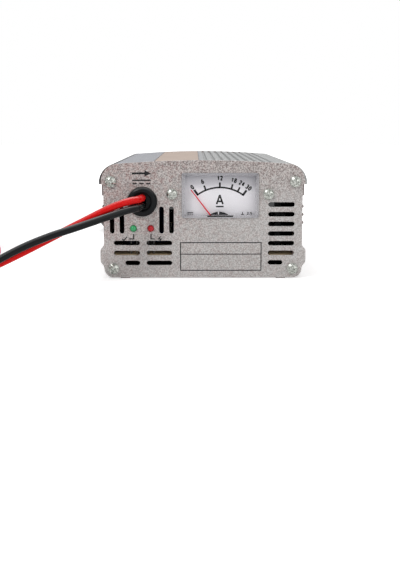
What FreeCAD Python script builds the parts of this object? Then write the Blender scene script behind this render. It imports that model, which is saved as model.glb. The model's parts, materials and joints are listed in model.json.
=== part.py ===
import FreeCAD, Part
import math
import os

# Car battery charger: an extruded aluminium case with two end panels, a moving-coil
# ammeter, a cooling fan, the power board, and three leads with their plug and clamps.
# Millimetres. The origin is on the table under the middle of the case, X runs to the
# right seen from the meter end, Y runs from the meter end to the fan end, Z is up.

V = FreeCAD.Vector
os.makedirs("parts", exist_ok=True)

# Case and end panels
CASE_LENGTH = 170.0
PANEL_THICK = 1.5
FOOT_HEIGHT = 0.5
FOOT_WIDTH = 4.4
FOOT_X = 35.8
PANEL_TOP = 54.0
CROWN_DROP = 1.5
SHOULDER_X = 37.6
LIP_X = 46.4
LIP_TOP = 45.0
LIP_Z = 43.1
SIDE_X = 45.3
EAR_X = 47.0
EAR_TOP = 12.6
EAR_LOW = 8.6
EAR_BEND = 3.4
CORNER_RADIUS = 4.2
COVER_WALL = 2.4
COVER_GROW = 0.9
BASE_WALL = 1.8
BASE_FLOOR = 2.0
TONGUE_WALL = 1.5
TONGUE_DEPTH = 3.2
FIT = 0.1

# Cooling fins on the top and the small ribs on the sides
GROOVE_COUNT = 9
GROOVE_FIRST_X = 1.2
GROOVE_PITCH = 3.75
GROOVE_TOP = 1.7
GROOVE_BOTTOM = 1.0
GROOVE_DEPTH = 0.9
RIB_OUT = 0.7
RIB_PITCH = 3.7
RIB_FIRST_Z = 33.1
RIB_COUNT = 3
LONG_RIB_LOW = 38.0
LABEL_X = -12.1
LABEL_WIDTH = 20.6
LABEL_RECESS = 0.4
LABEL_THICK = 0.3
LABEL_MARGIN = 0.2

# Panel screws and their channels
TOP_SCREW_X = 41.9
TOP_SCREW_Z = 44.4
LOW_SCREW_X = 41.0
LOW_SCREW_Z = 4.6
CHANNEL_WALL = 1.1
SCREW_RADIUS = 1.45
SCREW_HEAD_RADIUS = 2.5
SCREW_HEAD_HEIGHT = 1.9
SCREW_LENGTH = 9.0
SCREW_CLEAR = 0.05
PANEL_HOLE_CLEAR = 0.2

# Slots in the front panel
SLOT_WIDTH = 2.2
SLOT_PITCH = 4.43
SLOT_LOW_Z = 7.4
RIGHT_SLOT_X = 35.75
RIGHT_SLOT_LENGTH = 12.1
RIGHT_SLOT_COUNT = 7
RIGHT_SHORT_LENGTH = 6.8
LEFT_SLOT_X = -34.85
LEFT_SLOT_LENGTH = 12.0
LEFT_SLOT_PITCH = 4.6
LEFT_SLOT_LOW_Z = 7.2
MIDDLE_SLOT_X = -20.0
MIDDLE_SLOT_LENGTH = 11.8
LEFT_SLOT_COUNT = 3
UPRIGHT_SLOT_XS = (-41.5, -37.0, -18.95, -14.4)
UPRIGHT_SLOT_LOW = 20.7
UPRIGHT_SLOT_LENGTH = 12.4

# Ammeter
METER_X = 7.8
WINDOW_ASIDE = 4.4
WINDOW_LOW = 27.85
WINDOW_MARGIN = 2.15
WINDOW_CORNER = 0.9
LENS_CLEAR = 0.15
LENS_PROUD = 0.8
LENS_FACE = 1.2
LENS_WALL = 1.2
METER_FLANGE = 1.5
METER_TAB_END = 2.75
METER_TAB_LOW = 31.75
METER_TAB_MARGIN = 4.75
METER_SCREW_SPAN = 43.9
METER_SCREW_ASIDE = 1.95
METER_SCREW_RADIUS = 1.2
METER_SCREW_LENGTH = 5.5
CASE_BOX_LOW = 12.8
CASE_BOX_MARGIN = 3.5
CASE_BOX_DEPTH = 18.0
CASE_BOX_WALL = 1.5
PIVOT_ASIDE = 0.4
PIVOT_Z = 23.7
DIAL_BEHIND = 5.2
DIAL_THICK = 0.5
DIAL_LOW = 27.3
POINTER_MARGIN = 5.7
POINTER_WIDTH = 0.8
POINTER_TIP = 0.4
POINTER_THICK = 0.3
POINTER_REST = 37.5
POINTER_AHEAD = 1.4
POINTER_HUB = 1.5
TAIL_LENGTH = 4.6
ARBOR_RADIUS = 0.5
YOKE_RADIUS = 9.0
YOKE_WALL = 2.6
YOKE_LENGTH = 7.0
YOKE_BEHIND_DIAL = 2.2
MAGNET_RADIUS = 4.6
COIL_GAP = 0.5
COIL_THICK = 0.7
COIL_WIDTH = 3.0
HUB_COVER_WIDTH = 8.4
HUB_COVER_RISE = 1.4
HUB_COVER_THICK = 0.8
TERMINAL_SPAN = 22.0
TERMINAL_MARGIN = 8.0
TERMINAL_RADIUS = 1.9
TERMINAL_LENGTH = 7.0

# Indicator lamps
LAMP_RADIUS = 1.5
LAMP_CLEAR = 0.1
LAMP_FLANGE = 1.95
LAMP_FLANGE_THICK = 1.0
LAMP_PROUD = 1.6
LAMP_BODY = 3.2
LAMP_Z = 23.1
GREEN_X = -31.8
RED_X = -23.9
LAMP_LEG = 0.5
LAMP_LEG_SPAN = 2.54

# Grommets
GROMMET_PROUD = 2.6
GROMMET_GROOVE = 1.1
GROMMET_BACK = 1.6
GROMMET_CLEAR = 0.05
OUT_X = -27.6
OUT_Z = 35.4
OUT_RADIUS = 6.8
OUT_BORE = 3.75
OUT_WEB_PROUD = 1.2
IN_X = -30.6
IN_Z = 14.5
IN_RADIUS = 6.3
IN_BORE = 3.35

# Fan
FAN_SIZE = 40.0
FAN_DEPTH = 10.0
FAN_DROP = 0.8
FAN_BORE = 19.0
FAN_PITCH = 32.0
FAN_HOLE = 1.7
FAN_CORNER = 3.0
FAN_BASE_RADIUS = 9.6
FAN_BASE_THICK = 1.4
FAN_STRUT = 2.2
FAN_STRUTS = 4
ROTOR_RADIUS = 10.0
ROTOR_WALL = 1.0
ROTOR_GAP = 0.5
BLADE_COUNT = 7
BLADE_RADIUS = 18.5
BLADE_THICK = 1.0
BLADE_ROOT_ANGLE = 48.0
BLADE_TIP_ANGLE = 33.0
BLADE_ROOT_CHORD = 7.6
BLADE_TIP_CHORD = 10.6
SHAFT_RADIUS = 1.0
BUSH_RADIUS = 2.2
STATOR_RADIUS = 7.4
STATOR_POLES = 4
STATOR_THICK = 3.6
FAN_OPENING_RADIUS = 18.7
FAN_GUARD_RADIUS = 11.2
FAN_GUARD_ARM = 5.2
FAN_SCREW_LENGTH = 9.0

# Power board and what stands on it
BOARD_LOW = 9.4
BOARD_THICK = 1.6
BOARD_FRONT_GAP = 1.5
BOARD_BACK_GAP = 2.0
BOARD_EDGE_GAP = 0.4
GUIDE_DEPTH = 2.4
GUIDE_THICK = 1.3
GUIDE_FIT = 0.1
CORE_WIDTH = 35.0
CORE_HEIGHT = 29.0
CORE_DEPTH = 11.0
CORE_LEG = 6.0
WINDING_DEPTH = 25.0
TRANSFORMER_X = 3.0
TRANSFORMER_Y = 8.0
MAINS_CAP_RADIUS = 9.0
MAINS_CAP_HEIGHT = 30.0
MAINS_CAP_XS = (-8.0, 12.0)
MAINS_CAP_BACK = 41.5
OUT_CAP_RADIUS = 5.0
OUT_CAP_HEIGHT = 20.0
OUT_CAP_OFFSETS = ((-34.0, 39.5), (-34.0, 51.5), (-22.0, 51.5))
CHOKE_X = -3.0
CHOKE_FRONT = 45.5
CHOKE_RADIUS = 11.0
CHOKE_HOLE = 5.0
CHOKE_HEIGHT = 10.0
CHOKE_ROUND = 2.0
BRIDGE_OFFSET = (-32.0, 65.5)
BRIDGE_SIZE = (4.0, 20.0, 15.0)
TERMINAL_BLOCK_SIZE = (12.0, 10.0, 8.5)
FUSE_X = -14.0
FUSE_BACK = 22.5
FUSE_RADIUS = 2.5
FUSE_LENGTH = 20.0
FUSE_AXIS = 4.6
CLIP_WIDTH = 5.0
CLIP_WALL = 0.6
SINK_X = 35.0
SINK_THICK = 3.0
SINK_HEIGHT = 24.0
SINK_FRONT_GAP = 27.5
SINK_BACK_GAP = 53.5
SINK_FIN_PITCH = 6.0
SINK_FIN_DEPTH = 2.5
SINK_FIN_THICK = 1.4
SINK_FIN_LOW = 3.0
POWER_COUNT = 4
POWER_MARGIN = 14.0
POWER_WIDTH = 10.2
POWER_THICK = 4.5
POWER_HEIGHT = 15.5
POWER_LIFT = 4.0

# Output leads
LEAD_RADIUS = 1.65
LEAD_PITCH = 3.8
LEAD_COIL = (-126.0, -13.0)
LEAD_COIL_OUTER = 24.25
LEAD_REVERSAL = 1.625
LEAD_MOUTH = 2.0
LEAD_STACK = 1.8
LEAD_FIT = 0.1
INNER_STRAIGHT = 8.0
INNER_BEND = 17.0
INNER_SAG = 3.0
INNER_FOOT = 19.0
INNER_DROP = 10.0
INNER_ASIDE = 3.2
RED_ROUTE = (
    (-27.6, -2.0, 37.2), (-27.6, -9.6, 37.2), (-33.9, -13.9, 36.4),
    (-42.4, -16.3, 33.2), (-50.4, -18.3, 29.2), (-58.8, -20.8, 25.1),
    (-66.0, -23.2, 21.4), (-78.4, -27.2, 15.2), (-91.5, -31.1, 9.1),
    (-103.5, -34.6, 4.3), (-114.8, -37.25, 1.65), (-126.0, -37.25, 1.65))
BLACK_ROUTE = (
    (-27.6, -2.0, 33.6), (-27.6, -9.6, 33.6), (-33.3, -14.9, 32.8),
    (-41.6, -18.5, 30.2), (-49.2, -21.7, 27.8), (-57.6, -24.4, 25.1),
    (-65.0, -26.4, 23.0), (-77.6, -29.6, 18.2), (-90.5, -34.1, 11.3),
    (-102.5, -38.1, 4.9), (-114.6, -41.05, 1.65), (-126.0, -41.05, 1.65))
RED_END_ROUTE = (
    (-122.7, 13.15, 5.45), (-118.1, 13.15, 5.45), (-112.6, 15.4, 4.6),
    (-108.9, 20.4, 3.0), (-107.4, 30.0, 1.9), (-107.6, 44.0, 1.65),
    (-108.2, 59.0, 1.8), (-108.6, 73.0, 2.4), (-111.2, 84.5, 4.4),
    (-116.4, 93.0, 7.4), (-119.5, 99.0, 8.6), (-119.5, 104.0, 8.6))

# Mains cord
CORD_RADIUS = 3.1
CORD_PITCH = 6.75
CORD_COIL = (-24.0, 62.0)
CORD_COIL_OUTER = 39.9
CORD_TURNS = 5.25
CORD_MOUTH = 1.0
CORD_INSIDE = 26.0
CORD_ROUTE = (
    (-30.6, 1.0, 14.5), (-30.6, 8.6, 14.5), (-35.8, 13.6, 13.9),
    (-45.5, 14.6, 13.9), (-54.8, 19.4, 13.4), (-61.7, 27.4, 11.8),
    (-65.0, 36.3, 8.8), (-65.1, 44.5, 5.8), (-63.9, 53.2, 3.1), (-63.9, 62.0, 3.1))
CORD_END_ROUTE = (
    (-17.8, 101.9, 9.85), (-8.8, 101.9, 9.85), (1.5, 101.9, 6.85), (10.5, 101.9, 6.85))

# Mains plug
PLUG_PLACE = (10.5, 101.9)
PLUG_RELIEF = 10.0
PLUG_RELIEF_START = 4.0
PLUG_RELIEF_END = 5.6
PLUG_LENGTH = 34.0
PLUG_WIDTH = 35.3
PLUG_NECK_WIDTH = 14.0
PLUG_THICK = 13.7
PLUG_BEVEL = 6.6
PLUG_NOSE_LENGTH = 13.0
PIN_RADIUS = 2.0
PIN_LENGTH = 19.0
PIN_SPAN = 19.0
PIN_TIP = 0.8
PIN_COLLAR = 2.4
PIN_ROOT = 9.0

# Battery clamps
NOSE_LENGTH = 26.0
NOSE_TIP = 2.4
HANDLE_LENGTH = 34.0
HANDLE_SPREAD = 18.0
HANDLE_THICK = 4.0
HANDLE_START = 5.0
HANDLE_INNER = 2.0
JAW_BACK = 7.6
JAW_HALF_WIDTH = 7.2
JAW_SHEET = 1.1
JAW_SIDE_GAP = 0.4
JAW_CLOSED_GAP = 0.3
MOUTH_START = 7.0
MOUTH_DEPTH = 4.6
TOOTH_PAD = 7.0
TOOTH_COUNT = 4
TOOTH_DEPTH = 0.7
LUG_RADIUS = 4.0
PIVOT_RADIUS = 1.5
PIVOT_CLEAR = 0.08
PIVOT_HEAD = 2.6
PIVOT_HEAD_THICK = 0.8
GRIP_WALL = 1.4
GRIP_START = 18.0
GRIP_END = 2.0
GRIP_ROUND = 1.2
GRIP_NECK_RADIUS = 2.6
GRIP_NECK_LENGTH = 5.0
SPRING_WIRE = 0.45
SPRING_RADIUS = 2.6
SPRING_PITCH = 1.5
SPRING_TURNS = 4
SPRING_SLOPE = 25.0
SPRING_LEG = 12.8
CLAMP_PLACES = {"red": (-135.5, 145.0), "black": (-133.0, 59.0)}

# Places that follow from the sizes above
FRONT_Y = -CASE_LENGTH / 2.0
BACK_Y = CASE_LENGTH / 2.0
FRONT_IN = FRONT_Y + PANEL_THICK
BACK_IN = BACK_Y - PANEL_THICK
SIDE_IN = SIDE_X - BASE_WALL
BOARD_TOP = BOARD_LOW + BOARD_THICK
SHOULDER_Z = PANEL_TOP - CROWN_DROP
CROWN_RADIUS = (SHOULDER_X ** 2 + CROWN_DROP ** 2) / (2.0 * CROWN_DROP)
CASE_BOX_HIGH = PANEL_TOP - CASE_BOX_MARGIN
WINDOW_HEIGHT = CASE_BOX_HIGH - WINDOW_MARGIN - WINDOW_LOW
WINDOW_WIDTH = METER_SCREW_SPAN - 2.0 * WINDOW_ASIDE
WINDOW_MIDDLE_Z = WINDOW_LOW + WINDOW_HEIGHT / 2.0
CASE_BOX_WIDTH = METER_SCREW_SPAN - 2.0 * METER_SCREW_ASIDE
METER_TAB_WIDTH = METER_SCREW_SPAN + 2.0 * METER_TAB_END
METER_TAB_HIGH = CASE_BOX_HIGH - METER_TAB_MARGIN
METER_SCREW_Z = (METER_TAB_LOW + METER_TAB_HIGH) / 2.0
POINTER_LENGTH = CASE_BOX_HIGH - PIVOT_Z - POINTER_MARGIN
TERMINAL_Z = CASE_BOX_HIGH - TERMINAL_MARGIN
PIVOT_X = METER_X - PIVOT_ASIDE
FAN_Z = PANEL_TOP / 2.0 - FAN_DROP
SINK_FRONT = FRONT_IN + SINK_FRONT_GAP
SINK_BACK = BACK_IN - SINK_BACK_GAP
FUSE_Y = BACK_IN - FUSE_BACK
CHOKE_Y = FRONT_IN + CHOKE_FRONT
CORD_END_Y = BACK_Y + CORD_MOUTH - CORD_INSIDE
DIAL_Y = FRONT_Y - LENS_PROUD + DIAL_BEHIND
POINTER_Y = DIAL_Y - POINTER_AHEAD
CLAMP_Z = JAW_HALF_WIDTH + GRIP_WALL


# General helpers

def save(name, shape):
    """Write one node. Every solid of the shape stays a separate solid."""
    shape.exportStep("parts/" + name + ".step")


def box(x0, x1, y0, y1, z0, z1):
    return Part.makeBox(x1 - x0, y1 - y0, z1 - z0, V(x0, y0, z0))


def rod_y(x, z, radius, y0, y1):
    return Part.makeCylinder(radius, y1 - y0, V(x, y0, z), V(0, 1, 0))


def rod_z(x, y, radius, z0, z1):
    return Part.makeCylinder(radius, z1 - z0, V(x, y, z0), V(0, 0, 1))


def fuse_all(shapes):
    whole = shapes[0]
    if len(shapes) > 1:
        whole = whole.fuse(shapes[1:])
    return whole.removeSplitter()


def arc_from(start, tangent, end):
    """One arc that leaves start along tangent and ends at end, or a line where it is straight."""
    chord = end - start
    length = chord.Length
    along = V(chord).normalize()
    leave = V(tangent).normalize()
    cosine = max(-1.0, min(1.0, leave.dot(along)))
    angle = math.acos(cosine)
    if angle < 1e-5:
        return Part.LineSegment(start, end).toShape()
    side = (leave - along * cosine).normalize()
    middle = start + along * (length / 2.0) + side * (length / 2.0 * math.tan(angle / 2.0))
    return Part.Arc(start, middle, end).toShape()


def biarc(start, leave, end, arrive):
    """Two tangent arcs from start to end that leave and arrive along the given directions."""
    out = V(leave).normalize()
    back = V(arrive).normalize()
    gap = end - start
    total = gap.dot(out + back)
    spare = 2.0 * (1.0 - out.dot(back))
    if spare < 1e-9:
        reach = gap.dot(gap) / (4.0 * gap.dot(back))
    else:
        reach = (-total + math.sqrt(total * total + spare * gap.dot(gap))) / spare
    joint = (start + out * reach + end - back * reach) * 0.5
    first = arc_from(start, out, joint)
    turned = first.tangentAt(first.LastParameter)
    if turned.dot(joint - start) < 0:
        turned = turned * -1.0
    return [first, arc_from(joint, turned, end)]


def outline(y, start, steps):
    """Edges in the plane y. A step is a point for a line, two points for an arc through the
    first, or ("bend", leave, end, arrive) for an S of two tangent arcs."""
    edges = []
    here = V(start[0], y, start[1])
    for step in steps:
        if step[0] == "bend":
            leave, end, arrive = [V(p[0], 0, p[1]) for p in step[1:]]
            goal = V(end.x, y, end.z)
            edges += biarc(here, leave, goal, arrive)
        elif isinstance(step[0], tuple):
            middle, goal = [V(p[0], y, p[1]) for p in step]
            edges.append(Part.Arc(here, middle, goal).toShape())
        else:
            goal = V(step[0], y, step[1])
            edges.append(Part.LineSegment(here, goal).toShape())
        here = goal
    return edges


def prism(edges, depth):
    """Extrude a closed chain of edges along +Y."""
    wire = Part.Wire(Part.__sortEdges__(edges))
    return Part.Face(wire).extrude(V(0, depth, 0))


def mirrored_x(shape):
    return shape.mirror(V(0, 0, 0), V(1, 0, 0))


def both_sides(half):
    """A half that ends on the middle plane, joined to its mirror image."""
    return half.fuse(mirrored_x(half)).removeSplitter()


def circle_point(cx, cz, radius, degrees):
    turn = math.radians(degrees)
    return (cx + radius * math.cos(turn), cz + radius * math.sin(turn))


# Case

def crown_z(x):
    """Height of the crowned top above the table at x."""
    return PANEL_TOP - CROWN_RADIUS + math.sqrt(CROWN_RADIUS ** 2 - x * x)


def shoulder_middle(x0, z0, x1, z1):
    """A point on the shoulder's arc, a little outside its chord."""
    bulge = 0.2
    return ((x0 + x1) / 2.0 + (z0 - z1) * bulge, (z0 + z1) / 2.0 + (x1 - x0) * bulge)


def top_steps(lip_x):
    """From the middle of the crown round the shoulder to the lip's underside."""
    middle = (SHOULDER_X / 2.0, crown_z(SHOULDER_X / 2.0))
    shoulder = shoulder_middle(SHOULDER_X, SHOULDER_Z, lip_x, LIP_TOP)
    return [(middle, (SHOULDER_X, SHOULDER_Z)), (shoulder, (lip_x, LIP_TOP)), (lip_x, LIP_Z)]


def side_steps(side, ear, low, corner):
    """Down the side, round the ear and the bottom corner, to the middle of the underside."""
    inner = corner * (1.0 - math.sqrt(0.5))
    return [(side, EAR_TOP + EAR_BEND),
            ("bend", (0, -1), (ear, EAR_TOP), (0, -1)),
            (ear, EAR_LOW),
            ("bend", (0, -1), (side, low + corner), (0, -1)),
            ((side - inner, low + inner), (side - corner, low)),
            (0, low)]


def panel_blank(y):
    steps = top_steps(LIP_X)
    steps.append((SIDE_X, LIP_Z))
    steps += side_steps(SIDE_X, EAR_X, FOOT_HEIGHT, CORNER_RADIUS)
    steps.append((0, PANEL_TOP))
    return both_sides(prism(outline(y, (0, PANEL_TOP), steps), PANEL_THICK))


def crown_band(x0, x1, depth_top, depth_low, y0, y1):
    """A strip between two depths under the crown."""
    middle = (x0 + x1) / 2.0
    steps = [((middle, crown_z(middle) - depth_top), (x1, crown_z(x1) - depth_top)),
             (x1, crown_z(x1) - depth_low),
             ((middle, crown_z(middle) - depth_low), (x0, crown_z(x0) - depth_low)),
             (x0, crown_z(x0) - depth_top)]
    return prism(outline(y0, (x0, crown_z(x0) - depth_top), steps), y1 - y0)


def screw_places():
    return [(side * x, z) for side in (-1, 1)
            for x, z in ((TOP_SCREW_X, TOP_SCREW_Z), (LOW_SCREW_X, LOW_SCREW_Z))]


def channel(x, z):
    bore = SCREW_RADIUS + SCREW_CLEAR
    return rod_y(x, z, bore + CHANNEL_WALL, FRONT_IN, BACK_IN)


def channel_bore(x, z):
    return rod_y(x, z, SCREW_RADIUS + SCREW_CLEAR, FRONT_IN, BACK_IN)


def housing_cover():
    """Crowned top with fins, rolled shoulders, lips and a tongue inside the base."""
    length = BACK_IN - FRONT_IN
    tongue_out = SIDE_IN - FIT
    tongue_in = tongue_out - TONGUE_WALL
    tongue_low = LIP_Z - TONGUE_DEPTH
    inner_top = PANEL_TOP - COVER_WALL
    inner_x = SHOULDER_X - COVER_WALL / 2.0
    inner_z = SHOULDER_Z - COVER_WALL
    steps = top_steps(LIP_X + COVER_GROW)
    steps += [(tongue_out, LIP_Z), (tongue_out, tongue_low), (tongue_in, tongue_low),
              (tongue_in, LIP_TOP),
              (shoulder_middle(inner_x, inner_z, tongue_in, LIP_TOP), (inner_x, inner_z)),
              ((inner_x / 2.0, crown_z(inner_x / 2.0) - COVER_WALL), (0, inner_top)),
              (0, PANEL_TOP)]
    half = prism(outline(FRONT_IN, (0, PANEL_TOP), steps), length)
    boss = channel(TOP_SCREW_X, TOP_SCREW_Z)
    seat = box(tongue_out, LIP_X + 1.0, FRONT_IN, BACK_IN, tongue_low - 2.0, LIP_Z)
    half = half.fuse(boss.cut(seat)).cut(channel_bore(TOP_SCREW_X, TOP_SCREW_Z))
    cover = both_sides(half)
    cuts = [crown_band(LABEL_X - LABEL_WIDTH / 2.0, LABEL_X + LABEL_WIDTH / 2.0,
                       -1.0, LABEL_RECESS, FRONT_IN, BACK_IN)]
    for index in range(GROOVE_COUNT):
        cuts.append(fin_groove(GROOVE_FIRST_X + index * GROOVE_PITCH))
    return cover.cut(cuts)


def fin_groove(x):
    top = crown_z(x)
    low = top - GROOVE_DEPTH
    above = 1.0
    flare = (GROOVE_TOP - GROOVE_BOTTOM) / 2.0 / GROOVE_DEPTH * above
    wide = GROOVE_TOP / 2.0 + flare
    narrow = GROOVE_BOTTOM / 2.0
    steps = [(x + wide, top + above), (x + narrow, low), (x - narrow, low),
             (x - wide, top + above)]
    return prism(outline(FRONT_IN, (x - wide, top + above), steps), BACK_IN - FRONT_IN)


def housing_base():
    """Tray with ears, side ribs, feet, board guides and the lower screw channels."""
    length = BACK_IN - FRONT_IN
    floor_top = FOOT_HEIGHT + BASE_FLOOR
    inner_corner = CORNER_RADIUS - BASE_WALL
    steps = side_steps(SIDE_X, EAR_X, FOOT_HEIGHT, CORNER_RADIUS)
    outer = outline(FRONT_IN, (SIDE_X, LIP_Z), steps)
    steps = side_steps(SIDE_IN, EAR_X - BASE_WALL, floor_top, inner_corner)
    inner = outline(FRONT_IN, (SIDE_IN, LIP_Z), steps)
    rim = outline(FRONT_IN, (SIDE_X, LIP_Z), [(SIDE_IN, LIP_Z)])
    keel = outline(FRONT_IN, (0, FOOT_HEIGHT), [(0, floor_top)])
    half = prism(outer + inner + rim + keel, length)
    extras = [box(FOOT_X - FOOT_WIDTH / 2.0, FOOT_X + FOOT_WIDTH / 2.0,
                  FRONT_IN, BACK_IN, 0.0, FOOT_HEIGHT),
              box(SIDE_X, SIDE_X + RIB_OUT, FRONT_IN, BACK_IN, LONG_RIB_LOW, LIP_Z),
              channel(LOW_SCREW_X, LOW_SCREW_Z)]
    for index in range(RIB_COUNT):
        rib = rod_y(SIDE_X, RIB_FIRST_Z - index * RIB_PITCH, RIB_OUT, FRONT_IN, BACK_IN)
        extras.append(rib.common(box(SIDE_X - 0.5, LIP_X, FRONT_IN, BACK_IN, 0, PANEL_TOP)))
    for low in (BOARD_LOW - GUIDE_FIT - GUIDE_THICK, BOARD_TOP + GUIDE_FIT):
        extras.append(box(SIDE_IN - GUIDE_DEPTH, EAR_X - BASE_WALL / 2.0,
                          FRONT_IN, BACK_IN, low, low + GUIDE_THICK))
    half = half.fuse(extras).cut(channel_bore(LOW_SCREW_X, LOW_SCREW_Z))
    return both_sides(half)


def top_label():
    inset = LABEL_WIDTH / 2.0 - LABEL_MARGIN
    return crown_band(LABEL_X - inset, LABEL_X + inset, LABEL_RECESS - LABEL_THICK,
                      LABEL_RECESS, FRONT_IN, BACK_IN)


# End panels

def slot_cut(x, z, length, width, upright, y):
    """A slot with round ends through a panel."""
    half = (length - width) / 2.0
    shift = V(0, 0, half) if upright else V(half, 0, 0)
    ends = []
    for sign in (-1, 1):
        place = V(x, y, z) + shift * sign
        ends.append(Part.makeCylinder(width / 2.0, PANEL_THICK, place, V(0, 1, 0)))
    if upright:
        middle = box(x - width / 2.0, x + width / 2.0, y, y + PANEL_THICK, z - half, z + half)
    else:
        middle = box(x - half, x + half, y, y + PANEL_THICK, z - width / 2.0, z + width / 2.0)
    return fuse_all([middle] + ends)


def rounded_block(x, z, width, height, corner, y0, y1):
    block = box(x - width / 2.0, x + width / 2.0, y0, y1, z - height / 2.0, z + height / 2.0)
    edges = [edge for edge in block.Edges if abs(edge.tangentAt(0).y) > 0.9]
    return block.makeFillet(corner, edges)


def corner_screw_cuts(y):
    radius = SCREW_RADIUS + PANEL_HOLE_CLEAR
    return [rod_y(x, z, radius, y, y + PANEL_THICK) for x, z in screw_places()]


def meter_screw_xs():
    return [METER_X - METER_SCREW_SPAN / 2.0, METER_X + METER_SCREW_SPAN / 2.0]


def front_panel():
    """Meter end: window, slots, lamp holes and the output grommet's hole."""
    y = FRONT_Y
    cuts = corner_screw_cuts(y)
    cuts.append(rounded_block(METER_X, WINDOW_MIDDLE_Z, WINDOW_WIDTH, WINDOW_HEIGHT,
                              WINDOW_CORNER, y, y + PANEL_THICK))
    for x in meter_screw_xs():
        cuts.append(rod_y(x, METER_SCREW_Z, METER_SCREW_RADIUS + PANEL_HOLE_CLEAR,
                          y, y + PANEL_THICK))
    cuts.append(rod_y(OUT_X, OUT_Z, OUT_RADIUS - GROMMET_GROOVE - 0.5 + GROMMET_CLEAR,
                      y, y + PANEL_THICK))
    for x in (GREEN_X, RED_X):
        cuts.append(rod_y(x, LAMP_Z, LAMP_RADIUS + LAMP_CLEAR, y, y + PANEL_THICK))
    for x in UPRIGHT_SLOT_XS:
        cuts.append(slot_cut(x, UPRIGHT_SLOT_LOW + UPRIGHT_SLOT_LENGTH / 2.0,
                             UPRIGHT_SLOT_LENGTH, SLOT_WIDTH, True, y))
    for row in range(RIGHT_SLOT_COUNT):
        length = RIGHT_SHORT_LENGTH if row == 0 else RIGHT_SLOT_LENGTH
        x = RIGHT_SLOT_X - (RIGHT_SLOT_LENGTH - length) / 2.0
        cuts.append(slot_cut(x, SLOT_LOW_Z + row * SLOT_PITCH, length, SLOT_WIDTH, False, y))
    for row in range(LEFT_SLOT_COUNT):
        z = LEFT_SLOT_LOW_Z + row * LEFT_SLOT_PITCH
        length = RIGHT_SHORT_LENGTH if row == 0 else LEFT_SLOT_LENGTH
        x = LEFT_SLOT_X + (LEFT_SLOT_LENGTH - length) / 2.0
        cuts.append(slot_cut(x, z, length, SLOT_WIDTH, False, y))
        cuts.append(slot_cut(MIDDLE_SLOT_X, z, MIDDLE_SLOT_LENGTH, SLOT_WIDTH, False, y))
    return panel_blank(y).cut(cuts)


def rear_panel():
    """Fan end: a three-armed guard stamped in the plate, and the mains grommet's hole."""
    y = BACK_IN
    ring = rod_y(0, FAN_Z, FAN_OPENING_RADIUS, y, y + PANEL_THICK)
    guard = [rod_y(0, FAN_Z, FAN_GUARD_RADIUS, y, y + PANEL_THICK)]
    for turn in (0.0, 120.0, 240.0):
        arm = box(-FAN_GUARD_ARM / 2.0, FAN_GUARD_ARM / 2.0, y, y + PANEL_THICK,
                  FAN_Z, FAN_Z + FAN_OPENING_RADIUS + 1.0)
        arm.rotate(V(0, 0, FAN_Z), V(0, 1, 0), turn)
        guard.append(arm)
    cuts = corner_screw_cuts(y)
    cuts.append(ring.cut(fuse_all(guard)))
    cuts.append(rod_y(IN_X, IN_Z, IN_RADIUS - GROMMET_GROOVE - 0.5 + GROMMET_CLEAR,
                      y, y + PANEL_THICK))
    for x, z in fan_screw_places():
        cuts.append(rod_y(x, z, SCREW_RADIUS + PANEL_HOLE_CLEAR, y, y + PANEL_THICK))
    return panel_blank(y).cut(cuts)


# Screws

def pan_screw(x, z, y, outward, radius, length):
    """Pan-head screw with a cross recess. The head's seat is at y and faces outward."""
    head = Part.makeCylinder(SCREW_HEAD_RADIUS, SCREW_HEAD_HEIGHT * 0.45, V(0, 0, 0))
    dome_low = SCREW_HEAD_HEIGHT * 0.45
    rise = SCREW_HEAD_HEIGHT - dome_low
    ball = (SCREW_HEAD_RADIUS ** 2 + rise ** 2) / (2.0 * rise)
    dome = Part.makeSphere(ball, V(0, 0, SCREW_HEAD_HEIGHT - ball))
    dome = dome.common(Part.makeCylinder(SCREW_HEAD_RADIUS, rise, V(0, 0, dome_low)))
    shank = Part.makeCylinder(radius, length, V(0, 0, -length))
    arm = SCREW_HEAD_RADIUS * 0.52
    slit = 0.45
    depth = SCREW_HEAD_HEIGHT * 0.5
    cross = Part.makeBox(2 * arm, 2 * slit, depth, V(-arm, -slit, SCREW_HEAD_HEIGHT - depth))
    other = Part.makeBox(2 * slit, 2 * arm, depth, V(-slit, -arm, SCREW_HEAD_HEIGHT - depth))
    screw = fuse_all([head, dome, shank]).cut([cross, other])
    screw.rotate(V(0, 0, 0), V(1, 0, 0), 90.0 if outward < 0 else -90.0)
    screw.translate(V(x, y, z))
    return screw


def screw_set(places, y, outward, radius, length):
    return Part.makeCompound([pan_screw(x, z, y, outward, radius, length) for x, z in places])


# Ammeter

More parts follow.
